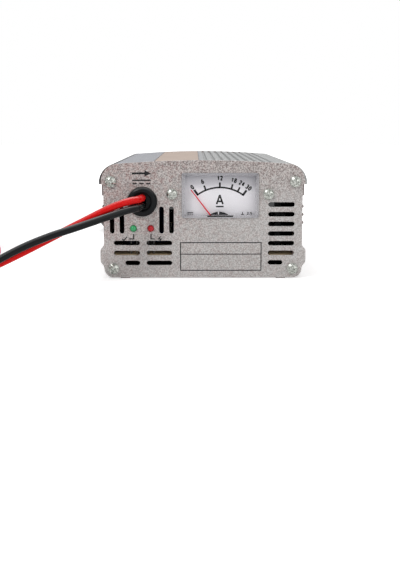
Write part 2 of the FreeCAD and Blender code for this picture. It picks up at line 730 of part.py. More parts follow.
def meter_lens():
    """Clear cover: a raised window through the panel and a flange with two lugs behind it."""
    front = FRONT_Y - LENS_PROUD
    width = WINDOW_WIDTH - 2 * LENS_CLEAR
    height = WINDOW_HEIGHT - 2 * LENS_CLEAR
    back = FRONT_IN + METER_FLANGE
    raised = rounded_block(METER_X, WINDOW_MIDDLE_Z, width, height, WINDOW_CORNER, front, back)
    half = CASE_BOX_WIDTH / 2.0
    flange = box(METER_X - half, METER_X + half, FRONT_IN, back, CASE_BOX_LOW, CASE_BOX_HIGH)
    reach = METER_TAB_WIDTH / 2.0
    tabs = box(METER_X - reach, METER_X + reach, FRONT_IN, back, METER_TAB_LOW, METER_TAB_HIGH)
    hollow = rounded_block(METER_X, WINDOW_MIDDLE_Z, width - 2 * LENS_WALL,
                           height - 2 * LENS_WALL, WINDOW_CORNER / 2.0,
                           front + LENS_FACE, back)
    inside = box(METER_X - half + CASE_BOX_WALL, METER_X + half - CASE_BOX_WALL,
                 FRONT_IN + METER_FLANGE / 2.0, back,
                 CASE_BOX_LOW + CASE_BOX_WALL, CASE_BOX_HIGH - CASE_BOX_WALL)
    holes = [rod_y(x, METER_SCREW_Z, METER_SCREW_RADIUS + SCREW_CLEAR, FRONT_IN, back)
             for x in meter_screw_xs()]
    return fuse_all([raised, flange, tabs]).cut([hollow, inside] + holes)


def meter_case():
    """Moulded box behind the lens, open in front, with ledges for the dial."""
    half = CASE_BOX_WIDTH / 2.0
    front = FRONT_IN + METER_FLANGE
    back = front + CASE_BOX_DEPTH
    outer = box(METER_X - half, METER_X + half, front, back, CASE_BOX_LOW, CASE_BOX_HIGH)
    inner = box(METER_X - half + CASE_BOX_WALL, METER_X + half - CASE_BOX_WALL,
                front, back - CASE_BOX_WALL,
                CASE_BOX_LOW + CASE_BOX_WALL, CASE_BOX_HIGH - CASE_BOX_WALL)
    ledges = []
    for side in (-1, 1):
        wall = METER_X + side * (half - CASE_BOX_WALL)
        ledges.append(box(min(wall, wall - side * 1.5), max(wall, wall - side * 1.5),
                          DIAL_Y + DIAL_THICK, back, DIAL_LOW, CASE_BOX_HIGH))
    pad = rod_y(PIVOT_X, PIVOT_Z, MAGNET_RADIUS - 1.0, yoke_back(), back)
    seat = rod_y(PIVOT_X, PIVOT_Z, YOKE_RADIUS, yoke_back(), back)
    seat = seat.cut(rod_y(PIVOT_X, PIVOT_Z, YOKE_RADIUS - YOKE_WALL, yoke_back(), back))
    studs = [rod_y(x, TERMINAL_Z, TERMINAL_RADIUS + FIT, back - CASE_BOX_WALL, back)
             for x in terminal_xs()]
    return fuse_all([outer.cut(inner)] + ledges + [pad, seat]).cut(studs)


def terminal_xs():
    return [METER_X - TERMINAL_SPAN / 2.0, METER_X + TERMINAL_SPAN / 2.0]


def yoke_front():
    return DIAL_Y + DIAL_THICK + YOKE_BEHIND_DIAL


def yoke_back():
    return yoke_front() + YOKE_LENGTH


def meter_dial():
    """Printed plate on the ledges, cut away round the pivot."""
    half = CASE_BOX_WIDTH / 2.0 - CASE_BOX_WALL - FIT
    high = CASE_BOX_HIGH - CASE_BOX_WALL - FIT
    return box(METER_X - half, METER_X + half, DIAL_Y, DIAL_Y + DIAL_THICK, DIAL_LOW, high)


def meter_hub_cover():
    """Dark arch in front of the pivot, standing on the lens's lower inner wall."""
    half = HUB_COVER_WIDTH / 2.0
    y = POINTER_Y - POINTER_THICK - 0.5 - HUB_COVER_THICK
    low = WINDOW_LOW + LENS_CLEAR + LENS_WALL
    steps = [((PIVOT_X, low + HUB_COVER_RISE), (PIVOT_X + half, low)), (PIVOT_X - half, low)]
    return prism(outline(y, (PIVOT_X - half, low), steps), HUB_COVER_THICK)


def meter_yoke():
    """Soft-iron ring round the coil."""
    ring = rod_y(PIVOT_X, PIVOT_Z, YOKE_RADIUS, yoke_front(), yoke_back())
    return ring.cut(rod_y(PIVOT_X, PIVOT_Z, YOKE_RADIUS - YOKE_WALL, yoke_front(), yoke_back()))


def meter_magnet():
    """Core magnet inside the coil, drilled for the arbor."""
    front = yoke_front() + 1.5
    core = rod_y(PIVOT_X, PIVOT_Z, MAGNET_RADIUS, front, yoke_back())
    return core.cut(rod_y(PIVOT_X, PIVOT_Z, ARBOR_RADIUS + 0.3, front, yoke_back()))


def meter_coil():
    """Flat wound frame that turns in the gap between magnet and yoke, with its arbor."""
    reach = MAGNET_RADIUS + COIL_GAP
    half = COIL_WIDTH / 2.0
    front = yoke_front() + 1.0 - COIL_THICK
    sides = []
    for side in (-1, 1):
        x0 = PIVOT_X + side * reach
        x1 = PIVOT_X + side * (reach + COIL_THICK)
        sides.append(box(min(x0, x1), max(x0, x1), front, yoke_back() - 0.5,
                         PIVOT_Z - half, PIVOT_Z + half))
    bridge = box(PIVOT_X - reach, PIVOT_X + reach, front, front + COIL_THICK,
                 PIVOT_Z - half, PIVOT_Z + half)
    arbor = rod_y(PIVOT_X, PIVOT_Z, ARBOR_RADIUS, POINTER_Y - POINTER_THICK, front)
    coil = fuse_all(sides + [bridge, arbor])
    return coil


def meter_pointer():
    """Tapered needle with a counterweight tail on its hub, at the scale's zero."""
    hub = rod_y(PIVOT_X, PIVOT_Z, POINTER_HUB, POINTER_Y - POINTER_THICK, POINTER_Y)
    base = POINTER_WIDTH / 2.0
    tip = POINTER_TIP / 2.0
    y = POINTER_Y - POINTER_THICK
    steps = [(PIVOT_X + tip, PIVOT_Z + POINTER_LENGTH), (PIVOT_X - tip, PIVOT_Z + POINTER_LENGTH),
             (PIVOT_X - base, PIVOT_Z), (PIVOT_X - base, PIVOT_Z - TAIL_LENGTH),
             (PIVOT_X + base, PIVOT_Z - TAIL_LENGTH), (PIVOT_X + base, PIVOT_Z)]
    needle = prism(outline(y, (PIVOT_X + base, PIVOT_Z), steps), POINTER_THICK)
    weight = rod_y(PIVOT_X, PIVOT_Z - TAIL_LENGTH, 1.1, y, POINTER_Y)
    hole = rod_y(PIVOT_X, PIVOT_Z, ARBOR_RADIUS, y, POINTER_Y)
    pointer = fuse_all([hub, needle, weight]).cut(hole)
    pointer.rotate(V(PIVOT_X, 0, PIVOT_Z), V(0, 1, 0), -POINTER_REST)
    return pointer


def meter_terminals():
    """Two threaded studs with their nuts on the back of the meter."""
    back = FRONT_IN + METER_FLANGE + CASE_BOX_DEPTH
    studs = []
    for x in terminal_xs():
        stud = rod_y(x, TERMINAL_Z, TERMINAL_RADIUS, back - CASE_BOX_WALL, back + TERMINAL_LENGTH)
        nut = Part.Face(hexagon(x, TERMINAL_Z, 3.4, back)).extrude(V(0, 2.4, 0))
        studs.append(stud.fuse(nut).removeSplitter())
    return Part.makeCompound(studs)


def hexagon(x, z, radius, y):
    corners = [circle_point(x, z, radius, 60.0 * side) for side in range(7)]
    return Part.makePolygon([V(px, y, pz) for px, pz in corners])


# Indicator lamps

def lamp(x):
    """Domed lamp with its rim behind the panel and two legs down to the board."""
    tip = FRONT_Y - LAMP_PROUD
    body = rod_y(x, LAMP_Z, LAMP_RADIUS, tip + LAMP_RADIUS, FRONT_IN)
    dome = Part.makeSphere(LAMP_RADIUS, V(x, tip + LAMP_RADIUS, LAMP_Z))
    dome = dome.common(box(x - 2, x + 2, tip, tip + LAMP_RADIUS, LAMP_Z - 2, LAMP_Z + 2))
    rim = rod_y(x, LAMP_Z, LAMP_FLANGE, FRONT_IN, FRONT_IN + LAMP_FLANGE_THICK)
    parts = [body, dome, rim]
    back = FRONT_IN + LAMP_BODY
    for side in (-1, 1):
        leg = x + side * LAMP_LEG_SPAN / 2.0
        parts.append(box(leg - LAMP_LEG / 2, leg + LAMP_LEG / 2, FRONT_IN, back,
                         LAMP_Z - LAMP_LEG / 2, LAMP_Z + LAMP_LEG / 2))
        parts.append(box(leg - LAMP_LEG / 2, leg + LAMP_LEG / 2, back - LAMP_LEG, back,
                         BOARD_TOP, LAMP_Z + LAMP_LEG / 2))
    return fuse_all(parts)


# Grommets

def grommet(x, z, radius, bore, face, outward):
    """Rubber ring with a domed flange outside, a groove for the panel and a rim inside."""
    neck = radius - GROMMET_GROOVE - 0.5
    rim = radius - 0.5
    inside = -(PANEL_THICK + GROMMET_BACK)
    lead_in = 0.9
    profile = [V(bore, 0, inside), V(rim, 0, inside), V(rim, 0, -PANEL_THICK),
               V(neck, 0, -PANEL_THICK), V(neck, 0, 0), V(radius, 0, 0)]
    edges = [Part.LineSegment(a, b).toShape() for a, b in zip(profile, profile[1:])]
    shoulder = V(radius, 0, GROMMET_PROUD * 0.35)
    edges.append(Part.LineSegment(profile[-1], shoulder).toShape())
    crest = V(bore + lead_in, 0, GROMMET_PROUD)
    swell = V(radius - (radius - bore) * 0.2, 0, GROMMET_PROUD * 0.82)
    edges.append(Part.Arc(shoulder, swell, crest).toShape())
    mouth = V(bore, 0, GROMMET_PROUD - lead_in)
    roll = V(bore + lead_in * 0.29, 0, GROMMET_PROUD - lead_in * 0.29)
    edges.append(Part.Arc(crest, roll, mouth).toShape())
    edges.append(Part.LineSegment(mouth, profile[0]).toShape())
    ring = Part.Face(Part.Wire(edges)).revolve(V(0, 0, 0), V(0, 0, 1), 360)
    ring.rotate(V(0, 0, 0), V(1, 0, 0), 90.0 if outward < 0 else -90.0)
    ring.translate(V(x, face, z))
    return ring


def lead_way(z, y0, y1):
    return rod_y(OUT_X, z, LEAD_RADIUS + LEAD_FIT, y0, y1)


def out_grommet():
    """The output grommet: its ring is filled in round an upright oval way for both leads."""
    outer = FRONT_Y - GROMMET_PROUD
    inner = FRONT_Y + PANEL_THICK + GROMMET_BACK
    ring = grommet(OUT_X, OUT_Z, OUT_RADIUS, OUT_BORE, FRONT_Y, -1)
    web = rod_y(OUT_X, OUT_Z, OUT_BORE, FRONT_Y - OUT_WEB_PROUD, inner)
    low = OUT_Z - LEAD_STACK
    high = OUT_Z + LEAD_STACK
    half = LEAD_RADIUS + LEAD_FIT
    ways = [lead_way(low, outer, inner), lead_way(high, outer, inner),
            box(OUT_X - half, OUT_X + half, outer, inner, low, high)]
    return fuse_all([ring, web]).cut(ways)


# Fan

def fan_screw_places():
    """Only one diagonal pair of the four fan holes holds a screw."""
    reach = FAN_PITCH / 2.0
    return [(reach, FAN_Z + reach), (-reach, FAN_Z - reach)]


def fan_frame():
    """Square frame with a round duct, and a motor base on struts at its inner face."""
    y0 = BACK_IN - FAN_DEPTH
    block = rounded_block(0, FAN_Z, FAN_SIZE, FAN_SIZE, FAN_CORNER, y0, BACK_IN)
    duct = rod_y(0, FAN_Z, FAN_BORE, y0, BACK_IN)
    base = rod_y(0, FAN_Z, FAN_BASE_RADIUS, y0, y0 + FAN_BASE_THICK)
    struts = []
    for index in range(FAN_STRUTS):
        strut = box(-FAN_STRUT / 2.0, FAN_STRUT / 2.0, y0, y0 + FAN_BASE_THICK,
                    FAN_Z, FAN_Z + FAN_BORE + 0.5)
        strut.rotate(V(0, 0, FAN_Z), V(0, 1, 0), 45.0 + 360.0 / FAN_STRUTS * index)
        struts.append(strut)
    bush = rod_y(0, FAN_Z, BUSH_RADIUS, y0, BACK_IN - 3.0)
    bore = rod_y(0, FAN_Z, SHAFT_RADIUS + SCREW_CLEAR, y0, BACK_IN)
    reach = FAN_PITCH / 2.0
    frame = fuse_all([block.cut(duct), base, bush] + struts)
    holes = [rod_y(sx * reach, FAN_Z + sz * reach, FAN_HOLE, y0, BACK_IN)
             for sx in (-1, 1) for sz in (-1, 1)]
    return frame.cut(holes + [bore])


def fan_stator():
    """Laminated poles with their windings, pressed on the bush."""
    y0 = BACK_IN - FAN_DEPTH + FAN_BASE_THICK + 0.6
    y1 = y0 + STATOR_THICK
    parts = [rod_y(0, FAN_Z, 4.2, y0 - 0.6, y1)]
    for index in range(STATOR_POLES):
        arm = box(-1.6, 1.6, y0, y1, FAN_Z, FAN_Z + STATOR_RADIUS - 0.8)
        shoe = box(-4.2, 4.2, y0, y1, FAN_Z + STATOR_RADIUS - 2.2, FAN_Z + STATOR_RADIUS + 1.0)
        for piece in (arm, shoe):
            piece.rotate(V(0, 0, FAN_Z), V(0, 1, 0), 360.0 / STATOR_POLES * index)
            parts.append(piece)
    poles = fuse_all(parts).common(rod_y(0, FAN_Z, STATOR_RADIUS, y0 - 0.6, y1))
    return poles.cut(rod_y(0, FAN_Z, BUSH_RADIUS, y0 - 0.6, y1))


def blade_section(radius, chord, pitch, y_middle):
    """Thin slanted rectangle in the plane square to the radius."""
    turn = math.radians(pitch)
    along = V(math.cos(turn), math.sin(turn), 0) * (chord / 2.0)
    across = V(-math.sin(turn), math.cos(turn), 0) * (BLADE_THICK / 2.0)
    middle = V(0, y_middle, FAN_Z + radius)
    corners = [middle + along + across, middle - along + across,
               middle - along - across, middle + along - across, middle + along + across]
    return Part.makePolygon(corners)


def rotor_front():
    return BACK_IN - FAN_DEPTH + FAN_BASE_THICK + ROTOR_GAP


def rotor_back():
    return BACK_IN - 0.6


def fan_impeller():
    """Cup-shaped hub with seven twisted blades, open towards the motor base."""
    y0 = rotor_front()
    y1 = rotor_back()
    cup = rod_y(0, FAN_Z, ROTOR_RADIUS, y0, y1)
    hollow = rod_y(0, FAN_Z, ROTOR_RADIUS - ROTOR_WALL, y0, y1 - ROTOR_WALL)
    middle = (y0 + y1) / 2.0
    blade = Part.makeLoft([blade_section(ROTOR_RADIUS - 0.6, BLADE_ROOT_CHORD,
                                         BLADE_ROOT_ANGLE, middle),
                           blade_section(BLADE_RADIUS + 1.0, BLADE_TIP_CHORD,
                                         BLADE_TIP_ANGLE, middle)], True, True)
    blade = blade.common(rod_y(0, FAN_Z, BLADE_RADIUS, y0, y1))
    blades = []
    for index in range(BLADE_COUNT):
        copy = blade.copy()
        copy.rotate(V(0, 0, FAN_Z), V(0, 1, 0), 360.0 / BLADE_COUNT * index)
        blades.append(copy)
    socket = rod_y(0, FAN_Z, SHAFT_RADIUS, y0, y1 - ROTOR_WALL / 2.0)
    return fuse_all([cup.cut(hollow)] + blades).cut([socket])


def fan_shaft():
    return rod_y(0, FAN_Z, SHAFT_RADIUS, BACK_IN - FAN_DEPTH + 0.8,
                 rotor_back() - ROTOR_WALL / 2.0)


# Power board

def main_board():
    half = EAR_X - BASE_WALL - BOARD_EDGE_GAP
    return box(-half, half, FRONT_IN + BOARD_FRONT_GAP, BACK_IN - FAN_DEPTH - BOARD_BACK_GAP,
               BOARD_LOW, BOARD_TOP)


def transformer_core():
    """Ferrite frame with two windows round the winding."""
    x0 = TRANSFORMER_X - CORE_WIDTH / 2.0
    x1 = TRANSFORMER_X + CORE_WIDTH / 2.0
    y0 = TRANSFORMER_Y - CORE_DEPTH / 2.0
    y1 = TRANSFORMER_Y + CORE_DEPTH / 2.0
    low = BOARD_TOP + 1.0
    frame = box(x0, x1, y0, y1, low, low + CORE_HEIGHT)
    half_leg = CORE_LEG
    windows = [box(x0 + CORE_LEG, TRANSFORMER_X - half_leg, y0, y1,
                   low + CORE_LEG, low + CORE_HEIGHT - CORE_LEG),
               box(TRANSFORMER_X + half_leg, x1 - CORE_LEG, y0, y1,
                   low + CORE_LEG, low + CORE_HEIGHT - CORE_LEG)]
    return frame.cut(windows)


def transformer_winding():
    """Taped winding round the middle leg, on a bobbin that stands on the board."""
    low = BOARD_TOP + 1.0
    reach = CORE_WIDTH / 2.0 - CORE_LEG - 0.3
    deep = WINDING_DEPTH / 2.0
    z0 = low + CORE_LEG + 0.3
    z1 = low + CORE_HEIGHT - CORE_LEG - 0.3
    wound = rounded_block(0, 0, 2 * reach, 2 * deep, 4.0, z0, z1)
    wound.rotate(V(0, 0, 0), V(1, 0, 0), 90.0)
    wound.translate(V(TRANSFORMER_X, TRANSFORMER_Y, 0))
    room = CORE_LEG + 0.2
    leg = box(TRANSFORMER_X - room, TRANSFORMER_X + room,
              TRANSFORMER_Y - CORE_DEPTH / 2.0 - 0.2, TRANSFORMER_Y + CORE_DEPTH / 2.0 + 0.2,
              z0 - 1, z1 + 1)
    feet = []
    for side in (-1, 1):
        y = TRANSFORMER_Y + side * (deep - 3.0)
        feet.append(box(TRANSFORMER_X - reach + 1.0, TRANSFORMER_X + reach - 1.0,
                        y - 2.5, y + 2.5, BOARD_TOP, z0))
    return fuse_all([wound.cut(leg)] + feet)


def capacitor(x, y, radius, height):
    """Can with a rolled groove near its foot and a rounded top edge."""
    can = rod_z(x, y, radius, BOARD_TOP, BOARD_TOP + height)
    top = [edge for edge in can.Edges if edge.BoundBox.ZMin > BOARD_TOP + height - 0.1]
    can = can.makeFillet(radius * 0.12, top)
    groove = Part.makeTorus(radius + 0.25, 0.7, V(x, y, BOARD_TOP + 2.6), V(0, 0, 1))
    return can.cut(groove)


def capacitors(places, radius, height):
    return Part.makeCompound([capacitor(x, y, radius, height) for x, y in places])


def output_choke():
    """Ring core wound all round, lying on the board."""
    ring = rod_z(CHOKE_X, CHOKE_Y, CHOKE_RADIUS, BOARD_TOP, BOARD_TOP + CHOKE_HEIGHT)
    ring = ring.cut(rod_z(CHOKE_X, CHOKE_Y, CHOKE_HOLE, BOARD_TOP, BOARD_TOP + CHOKE_HEIGHT))
    rims = [edge for edge in ring.Edges if abs(edge.BoundBox.ZLength) < 0.01]
    return ring.makeFillet(CHOKE_ROUND, rims)


def block_on_board(x, y, size):
    width, depth, height = size
    block = box(x - width / 2.0, x + width / 2.0, y - depth / 2.0, y + depth / 2.0,
                BOARD_TOP, BOARD_TOP + height)
    upright = [edge for edge in block.Edges if edge.BoundBox.ZLength > height - 0.1]
    return block.makeFillet(min(width, depth) * 0.15, upright)


def fuse_tube():
    """Glass tube between two end caps, lying along X in its clips."""
    z = BOARD_TOP + FUSE_AXIS
    x0 = FUSE_X - FUSE_LENGTH / 2.0
    return Part.makeCylinder(FUSE_RADIUS, FUSE_LENGTH, V(x0, FUSE_Y, z), V(1, 0, 0))


def fuse_clips():
    """Spring clips that stand on the board round the fuse's end caps."""
    z = BOARD_TOP + FUSE_AXIS
    clips = []
    for side in (-1, 1):
        x = FUSE_X + side * (FUSE_LENGTH - CLIP_WIDTH) / 2.0 - CLIP_WIDTH / 2.0
        outer = FUSE_RADIUS + FIT + CLIP_WALL
        ring = Part.makeCylinder(outer, CLIP_WIDTH, V(x, FUSE_Y, z), V(1, 0, 0))
        foot = box(x, x + CLIP_WIDTH, FUSE_Y - 1.2, FUSE_Y + 1.2, BOARD_TOP, z - FUSE_RADIUS)
        inner = Part.makeCylinder(FUSE_RADIUS + FIT, CLIP_WIDTH, V(x, FUSE_Y, z), V(1, 0, 0))
        gap = box(x, x + CLIP_WIDTH, FUSE_Y - 1.5, FUSE_Y + 1.5, z, z + outer + 1)
        clips.append(fuse_all([ring, foot]).cut([inner, gap]))
    return clips


def heat_sink():
    """Aluminium bar with short fins towards the side wall."""
    bar = box(SINK_X, SINK_X + SINK_THICK, SINK_FRONT, SINK_BACK,
              BOARD_TOP, BOARD_TOP + SINK_HEIGHT)
    fins = []
    for index in range(4):
        z = BOARD_TOP + SINK_FIN_LOW + index * SINK_FIN_PITCH
        fins.append(box(SINK_X + SINK_THICK, SINK_X + SINK_THICK + SINK_FIN_DEPTH,
                        SINK_FRONT, SINK_BACK, z, z + SINK_FIN_THICK))
    return fuse_all([bar] + fins)


def power_transistors():
    """Flat packages on the bar's face, each with its tab and three legs."""
    parts = []
    pitch = (SINK_BACK - SINK_FRONT - 2.0 * POWER_MARGIN) / (POWER_COUNT - 1)
    for index in range(POWER_COUNT):
        y = SINK_FRONT + POWER_MARGIN + index * pitch
        low = BOARD_TOP + POWER_LIFT
        body = box(SINK_X - POWER_THICK, SINK_X - 1.2, y - POWER_WIDTH / 2.0,
                   y + POWER_WIDTH / 2.0, low, low + POWER_HEIGHT * 0.6)
        tab = box(SINK_X - 1.2, SINK_X, y - POWER_WIDTH / 2.0, y + POWER_WIDTH / 2.0,
                  low, low + POWER_HEIGHT)
        legs = [box(SINK_X - 3.0, SINK_X - 2.4, y + k * 2.54 - 0.4, y + k * 2.54 + 0.4,
                    BOARD_TOP, low) for k in (-1, 0, 1)]
        parts.append(fuse_all([body, tab] + legs))
    return Part.makeCompound(parts)


# Leads and cords

def rounded_path(points):
    """Straight runs joined by tangent arcs, each as large as its two runs allow."""
    edges = []
    radii = []
    here = points[0]
    for before, corner, after in zip(points, points[1:], points[2:]):
        towards = V(corner - before).normalize()
        away = V(after - corner).normalize()
        half = math.acos(max(-1.0, min(1.0, towards.dot(away)))) / 2.0
        reach = 0.45 * min((corner - before).Length, (after - corner).Length)
        radii.append(reach / math.tan(half))
        enter = corner - towards * reach
        leave = corner + away * reach
        edges.append(Part.LineSegment(here, enter).toShape())
        edges.append(arc_from(enter, towards, leave))
        here = leave
    edges.append(Part.LineSegment(here, points[-1]).toShape())
    return edges, radii


def sweep(edges, radius):
    """Round tube along a chain of tangent edges."""
    wire = Part.Wire(edges)
    start = edges[0].valueAt(edges[0].FirstParameter)
    leave = edges[0].tangentAt(edges[0].FirstParameter)
    ring = Part.Wire(Part.makeCircle(radius, start, leave))
    return wire.makePipeShell([ring], True, False), wire.Length


def check_tube(name, tube, radius, length):
    expected = math.pi * radius ** 2 * length
    print(name, "length", round(length, 1), "volume ratio", round(tube.Volume / expected, 4),
          "valid", tube.isValid())


def free_tube(name, points, panel_y, radius):
    """A tube along a route whose Y values start at a panel's outer face."""
    edges, radii = rounded_path([V(x, panel_y + y, z) for x, y, z in points])
    tube, length = sweep(edges, radius)
    check_tube(name, tube, radius, length)
    print(name, "radii", [round(value, 1) for value in radii])
    save(name, tube)


def smooth_step(value):
    """Rises gently from 0 at 0 to 1 at 1."""
    part = max(0.0, min(1.0, value))
    return part * part * (3.0 - 2.0 * part)


def piled_coil(centre, start_degrees, reversal, outer, pitch, low, rise):
    """Place on a coil wound clockwise, after a number of turns: it spirals in from the outer
    radius up to the reversal and out again after it, and climbs by rise round the reversal."""
    def place(turn):
        radius = outer - (reversal - abs(turn - reversal)) * pitch
        height = low + rise * smooth_step((turn - reversal) * 2.0 + 0.5)
        angle = math.radians(start_degrees - 360.0 * turn)
        return V(centre[0] + radius * math.cos(angle), centre[1] + radius * math.sin(angle), height)
    return place


def direction(place, turn):
    step = 1e-4
    return (place(turn + step) - place(turn - step)).normalize()


def least_gap(edges, radius):
    """Least distance between parts of a tube that aren't beside each other along it."""
    points = []
    for edge in edges:
        first, last = edge.FirstParameter, edge.LastParameter
        count = max(2, int(edge.Length / radius))
        points += [edge.valueAt(first + (last - first) * k / count) for k in range(count)]
    apart = 10
    least = min((points[i] - points[j]).Length
                for i in range(len(points)) for j in range(i + apart, len(points)))
    return least - 2.0 * radius


def wound_tube(name, place, turns, tail, radius):
    """A coil's tube: a straight end, quarter turns of two arcs each, and a straight end
    again, after a tail's last place and direction where the coil has one."""
    quarters = int(round(turns * 4))
    knots = [(place(k / 4.0), direction(place, k / 4.0)) for k in range(quarters + 1)]
    knots += [(V(*point), V(*way)) for point, way in tail]
    start, way = knots[0]
    way = V(way.x, way.y, 0).normalize()
    here = start + way * (2.0 * radius)
    edges = [Part.LineSegment(start, here).toShape()]
    for point, tangent in knots[1:]:
        edges += biarc(here, way, point, tangent)
        here = point
        way = V(tangent).normalize()
    edges.append(Part.LineSegment(here, here + way * (2.0 * radius)).toShape())
    tube, length = sweep(edges, radius)
    check_tube(name, tube, radius, length)
    print(name, "least gap to itself", round(least_gap(edges, radius), 2))
    return tube


def lead_coil(offset):
    """One of two leads wound side by side, offset outwards from the inner one's spiral."""
    centre = (LEAD_COIL[0], FRONT_Y + LEAD_COIL[1])
    return piled_coil(centre, -90.0, LEAD_REVERSAL, LEAD_COIL_OUTER + offset,
                      2.0 * LEAD_PITCH, LEAD_RADIUS, LEAD_PITCH)


def cord_coil():
    centre = (CORD_COIL[0], BACK_Y + CORD_COIL[1])
    return piled_coil(centre, 180.0, CORD_TURNS / 2.0, CORD_COIL_OUTER, CORD_PITCH,
                      CORD_RADIUS, CORD_PITCH)


def inner_lead(stack, aside):
    """A lead inside the case, from the grommet's mouth to the board beside its middle."""
    z = OUT_Z + stack
    points = [V(OUT_X, FRONT_Y - LEAD_MOUTH, z), V(OUT_X, FRONT_Y + INNER_STRAIGHT, z),
              V(OUT_X + aside, FRONT_Y + INNER_BEND, z - INNER_SAG),
              V(OUT_X + aside, FRONT_Y + INNER_FOOT, BOARD_TOP + INNER_DROP),
              V(OUT_X + aside, FRONT_Y + INNER_FOOT, BOARD_TOP)]
    edges, _ = rounded_path(points)
    return sweep(edges, LEAD_RADIUS)[0]


# Mains plug

def plug_laid(shape):
    """Lay a piece of the plug, drawn from its cord's end towards negative Y, along X."""
    laid = shape.copy()
    laid.rotate(V(0, 0, 0), V(0, 0, 1), 90.0)
    laid.translate(V(PLUG_PLACE[0], BACK_Y + PLUG_PLACE[1], 0))
    return laid


def plug_body():
    """Flat two-pin plug: bevelled sides, shoulders drawn in to the cord, ribbed relief."""
    back = -PLUG_RELIEF
    front = back - PLUG_LENGTH
    half = PLUG_WIDTH / 2.0
    middle = PLUG_THICK / 2.0
    flat = half - PLUG_BEVEL
    section = [V(-half, front, middle), V(-flat, front, 0), V(flat, front, 0),
               V(half, front, middle), V(flat, front, PLUG_THICK), V(-flat, front, PLUG_THICK),
               V(-half, front, middle)]
    bar = Part.Face(Part.makePolygon(section)).extrude(V(0, PLUG_LENGTH, 0))
    neck = PLUG_NECK_WIDTH / 2.0
    nose = front + PLUG_NOSE_LENGTH
    waist = (half * 0.62, (nose + back) / 2.0 + 1.5)
    edges = []
    for side in (-1, 1):
        edges.append(Part.LineSegment(V(side * half, front, 0), V(side * half, nose, 0)).toShape())
        edges.append(Part.Arc(V(side * half, nose, 0), V(side * waist[0], waist[1], 0),
                              V(side * neck, back, 0)).toShape())
    edges.append(Part.LineSegment(V(-half, front, 0), V(half, front, 0)).toShape())
    edges.append(Part.LineSegment(V(-neck, back, 0), V(neck, back, 0)).toShape())
    plan = Part.Face(Part.Wire(Part.__sortEdges__(edges))).extrude(V(0, 0, PLUG_THICK))
    body = bar.common(plan)
    relief = Part.makeCone(PLUG_RELIEF_END, PLUG_RELIEF_START, PLUG_RELIEF,
                           V(0, back, middle), V(0, 1, 0))
    cuts = []
    for index in range(3):
        y = back + 2.0 + index * 2.6
        ring = Part.makeTorus(PLUG_RELIEF_END + 0.3, 0.8, V(0, y, middle), V(0, 1, 0))
        cuts.append(ring)
    for side in (-1, 1):
        x = side * PIN_SPAN / 2.0
        cuts.append(rod_y(x, middle, PIN_COLLAR + SCREW_CLEAR, front, front + PIN_ROOT))
    return plug_laid(fuse_all([body, relief]).cut(cuts))


def plug_pins():
    """Two round pins with rounded tips, seated in the body by their thicker roots."""
    front = -PLUG_RELIEF - PLUG_LENGTH
    pins = []
    for side in (-1, 1):
        x = side * PIN_SPAN / 2.0
        pin = rod_y(x, PLUG_THICK / 2.0, PIN_RADIUS, front - PIN_LENGTH, front)
        tip = [edge for edge in pin.Edges if edge.BoundBox.YMax < front - PIN_LENGTH + 0.1]
        root = rod_y(x, PLUG_THICK / 2.0, PIN_COLLAR, front, front + PIN_ROOT)
        pins.append(fuse_all([pin.makeFillet(PIN_TIP, tip), root]))
    return plug_laid(Part.makeCompound(pins))


# Battery clamps, drawn with the pivot at the origin, the nose along X and the fixed jaw
# on the side of negative Y. Both lie on their sides, so the pivot's axis is upright.

def flat_plate(start, steps, half):
    """Plate in the XY plane, from -half to half in Z."""
    plate = prism(outline(-half, start, steps), 2.0 * half)
    plate.rotate(V(0, 0, 0), V(1, 0, 0), -90.0)
    return plate


def handle_edge(u, outer):
    """Y of the handle's outer or inner edge at the distance u behind the pivot."""
    near = JAW_BACK if outer else HANDLE_INNER
    far = HANDLE_SPREAD if outer else HANDLE_SPREAD - HANDLE_THICK
    share = (u - HANDLE_START) / (HANDLE_LENGTH - HANDLE_START)
    return -(near + (far - near) * share)


def jaw_steps():
    """Round the jaw from the tip: teeth, mouth, lug, handle and back along the outside."""
    line = -JAW_CLOSED_GAP / 2.0
    pad = NOSE_LENGTH - TOOTH_PAD
    tooth = TOOTH_PAD / TOOTH_COUNT
    steps = []
    for index in range(TOOTH_COUNT):
        steps.append((NOSE_LENGTH - (index + 0.5) * tooth, line - TOOTH_DEPTH))
        steps.append((NOSE_LENGTH - (index + 1) * tooth, line))
    steps.append((((pad + MOUTH_START) / 2.0, line - MOUTH_DEPTH), (MOUTH_START, line)))
    steps.append(circle_point(0, 0, LUG_RADIUS, 45))
    steps.append((circle_point(0, 0, LUG_RADIUS, 90), circle_point(0, 0, LUG_RADIUS, 135)))
    steps.append((-HANDLE_START, -HANDLE_INNER))
    steps.append((-HANDLE_LENGTH, handle_edge(HANDLE_LENGTH, False)))
    steps.append((-HANDLE_LENGTH, -HANDLE_SPREAD))
    steps.append((-HANDLE_START, -JAW_BACK))
    steps.append((NOSE_LENGTH * 0.25, -JAW_BACK))
    steps.append(((NOSE_LENGTH * 0.72, -JAW_BACK * 0.82), (NOSE_LENGTH, -NOSE_TIP)))
    return steps


def jaw(half):
    """Folded sheet jaw: an outer web between two side plates, drilled for the pin."""
    start = (NOSE_LENGTH, -JAW_CLOSED_GAP / 2.0)
    steps = jaw_steps()
    steps.append(start)
    solid = flat_plate(start, steps, half)
    inside = flat_plate(start, steps, half - JAW_SHEET)
    inside.translate(V(0, JAW_SHEET * 1.15, 0))
    hole = rod_z(0, 0, PIVOT_RADIUS + PIVOT_CLEAR, -half, half)
    return solid.cut([inside, hole])


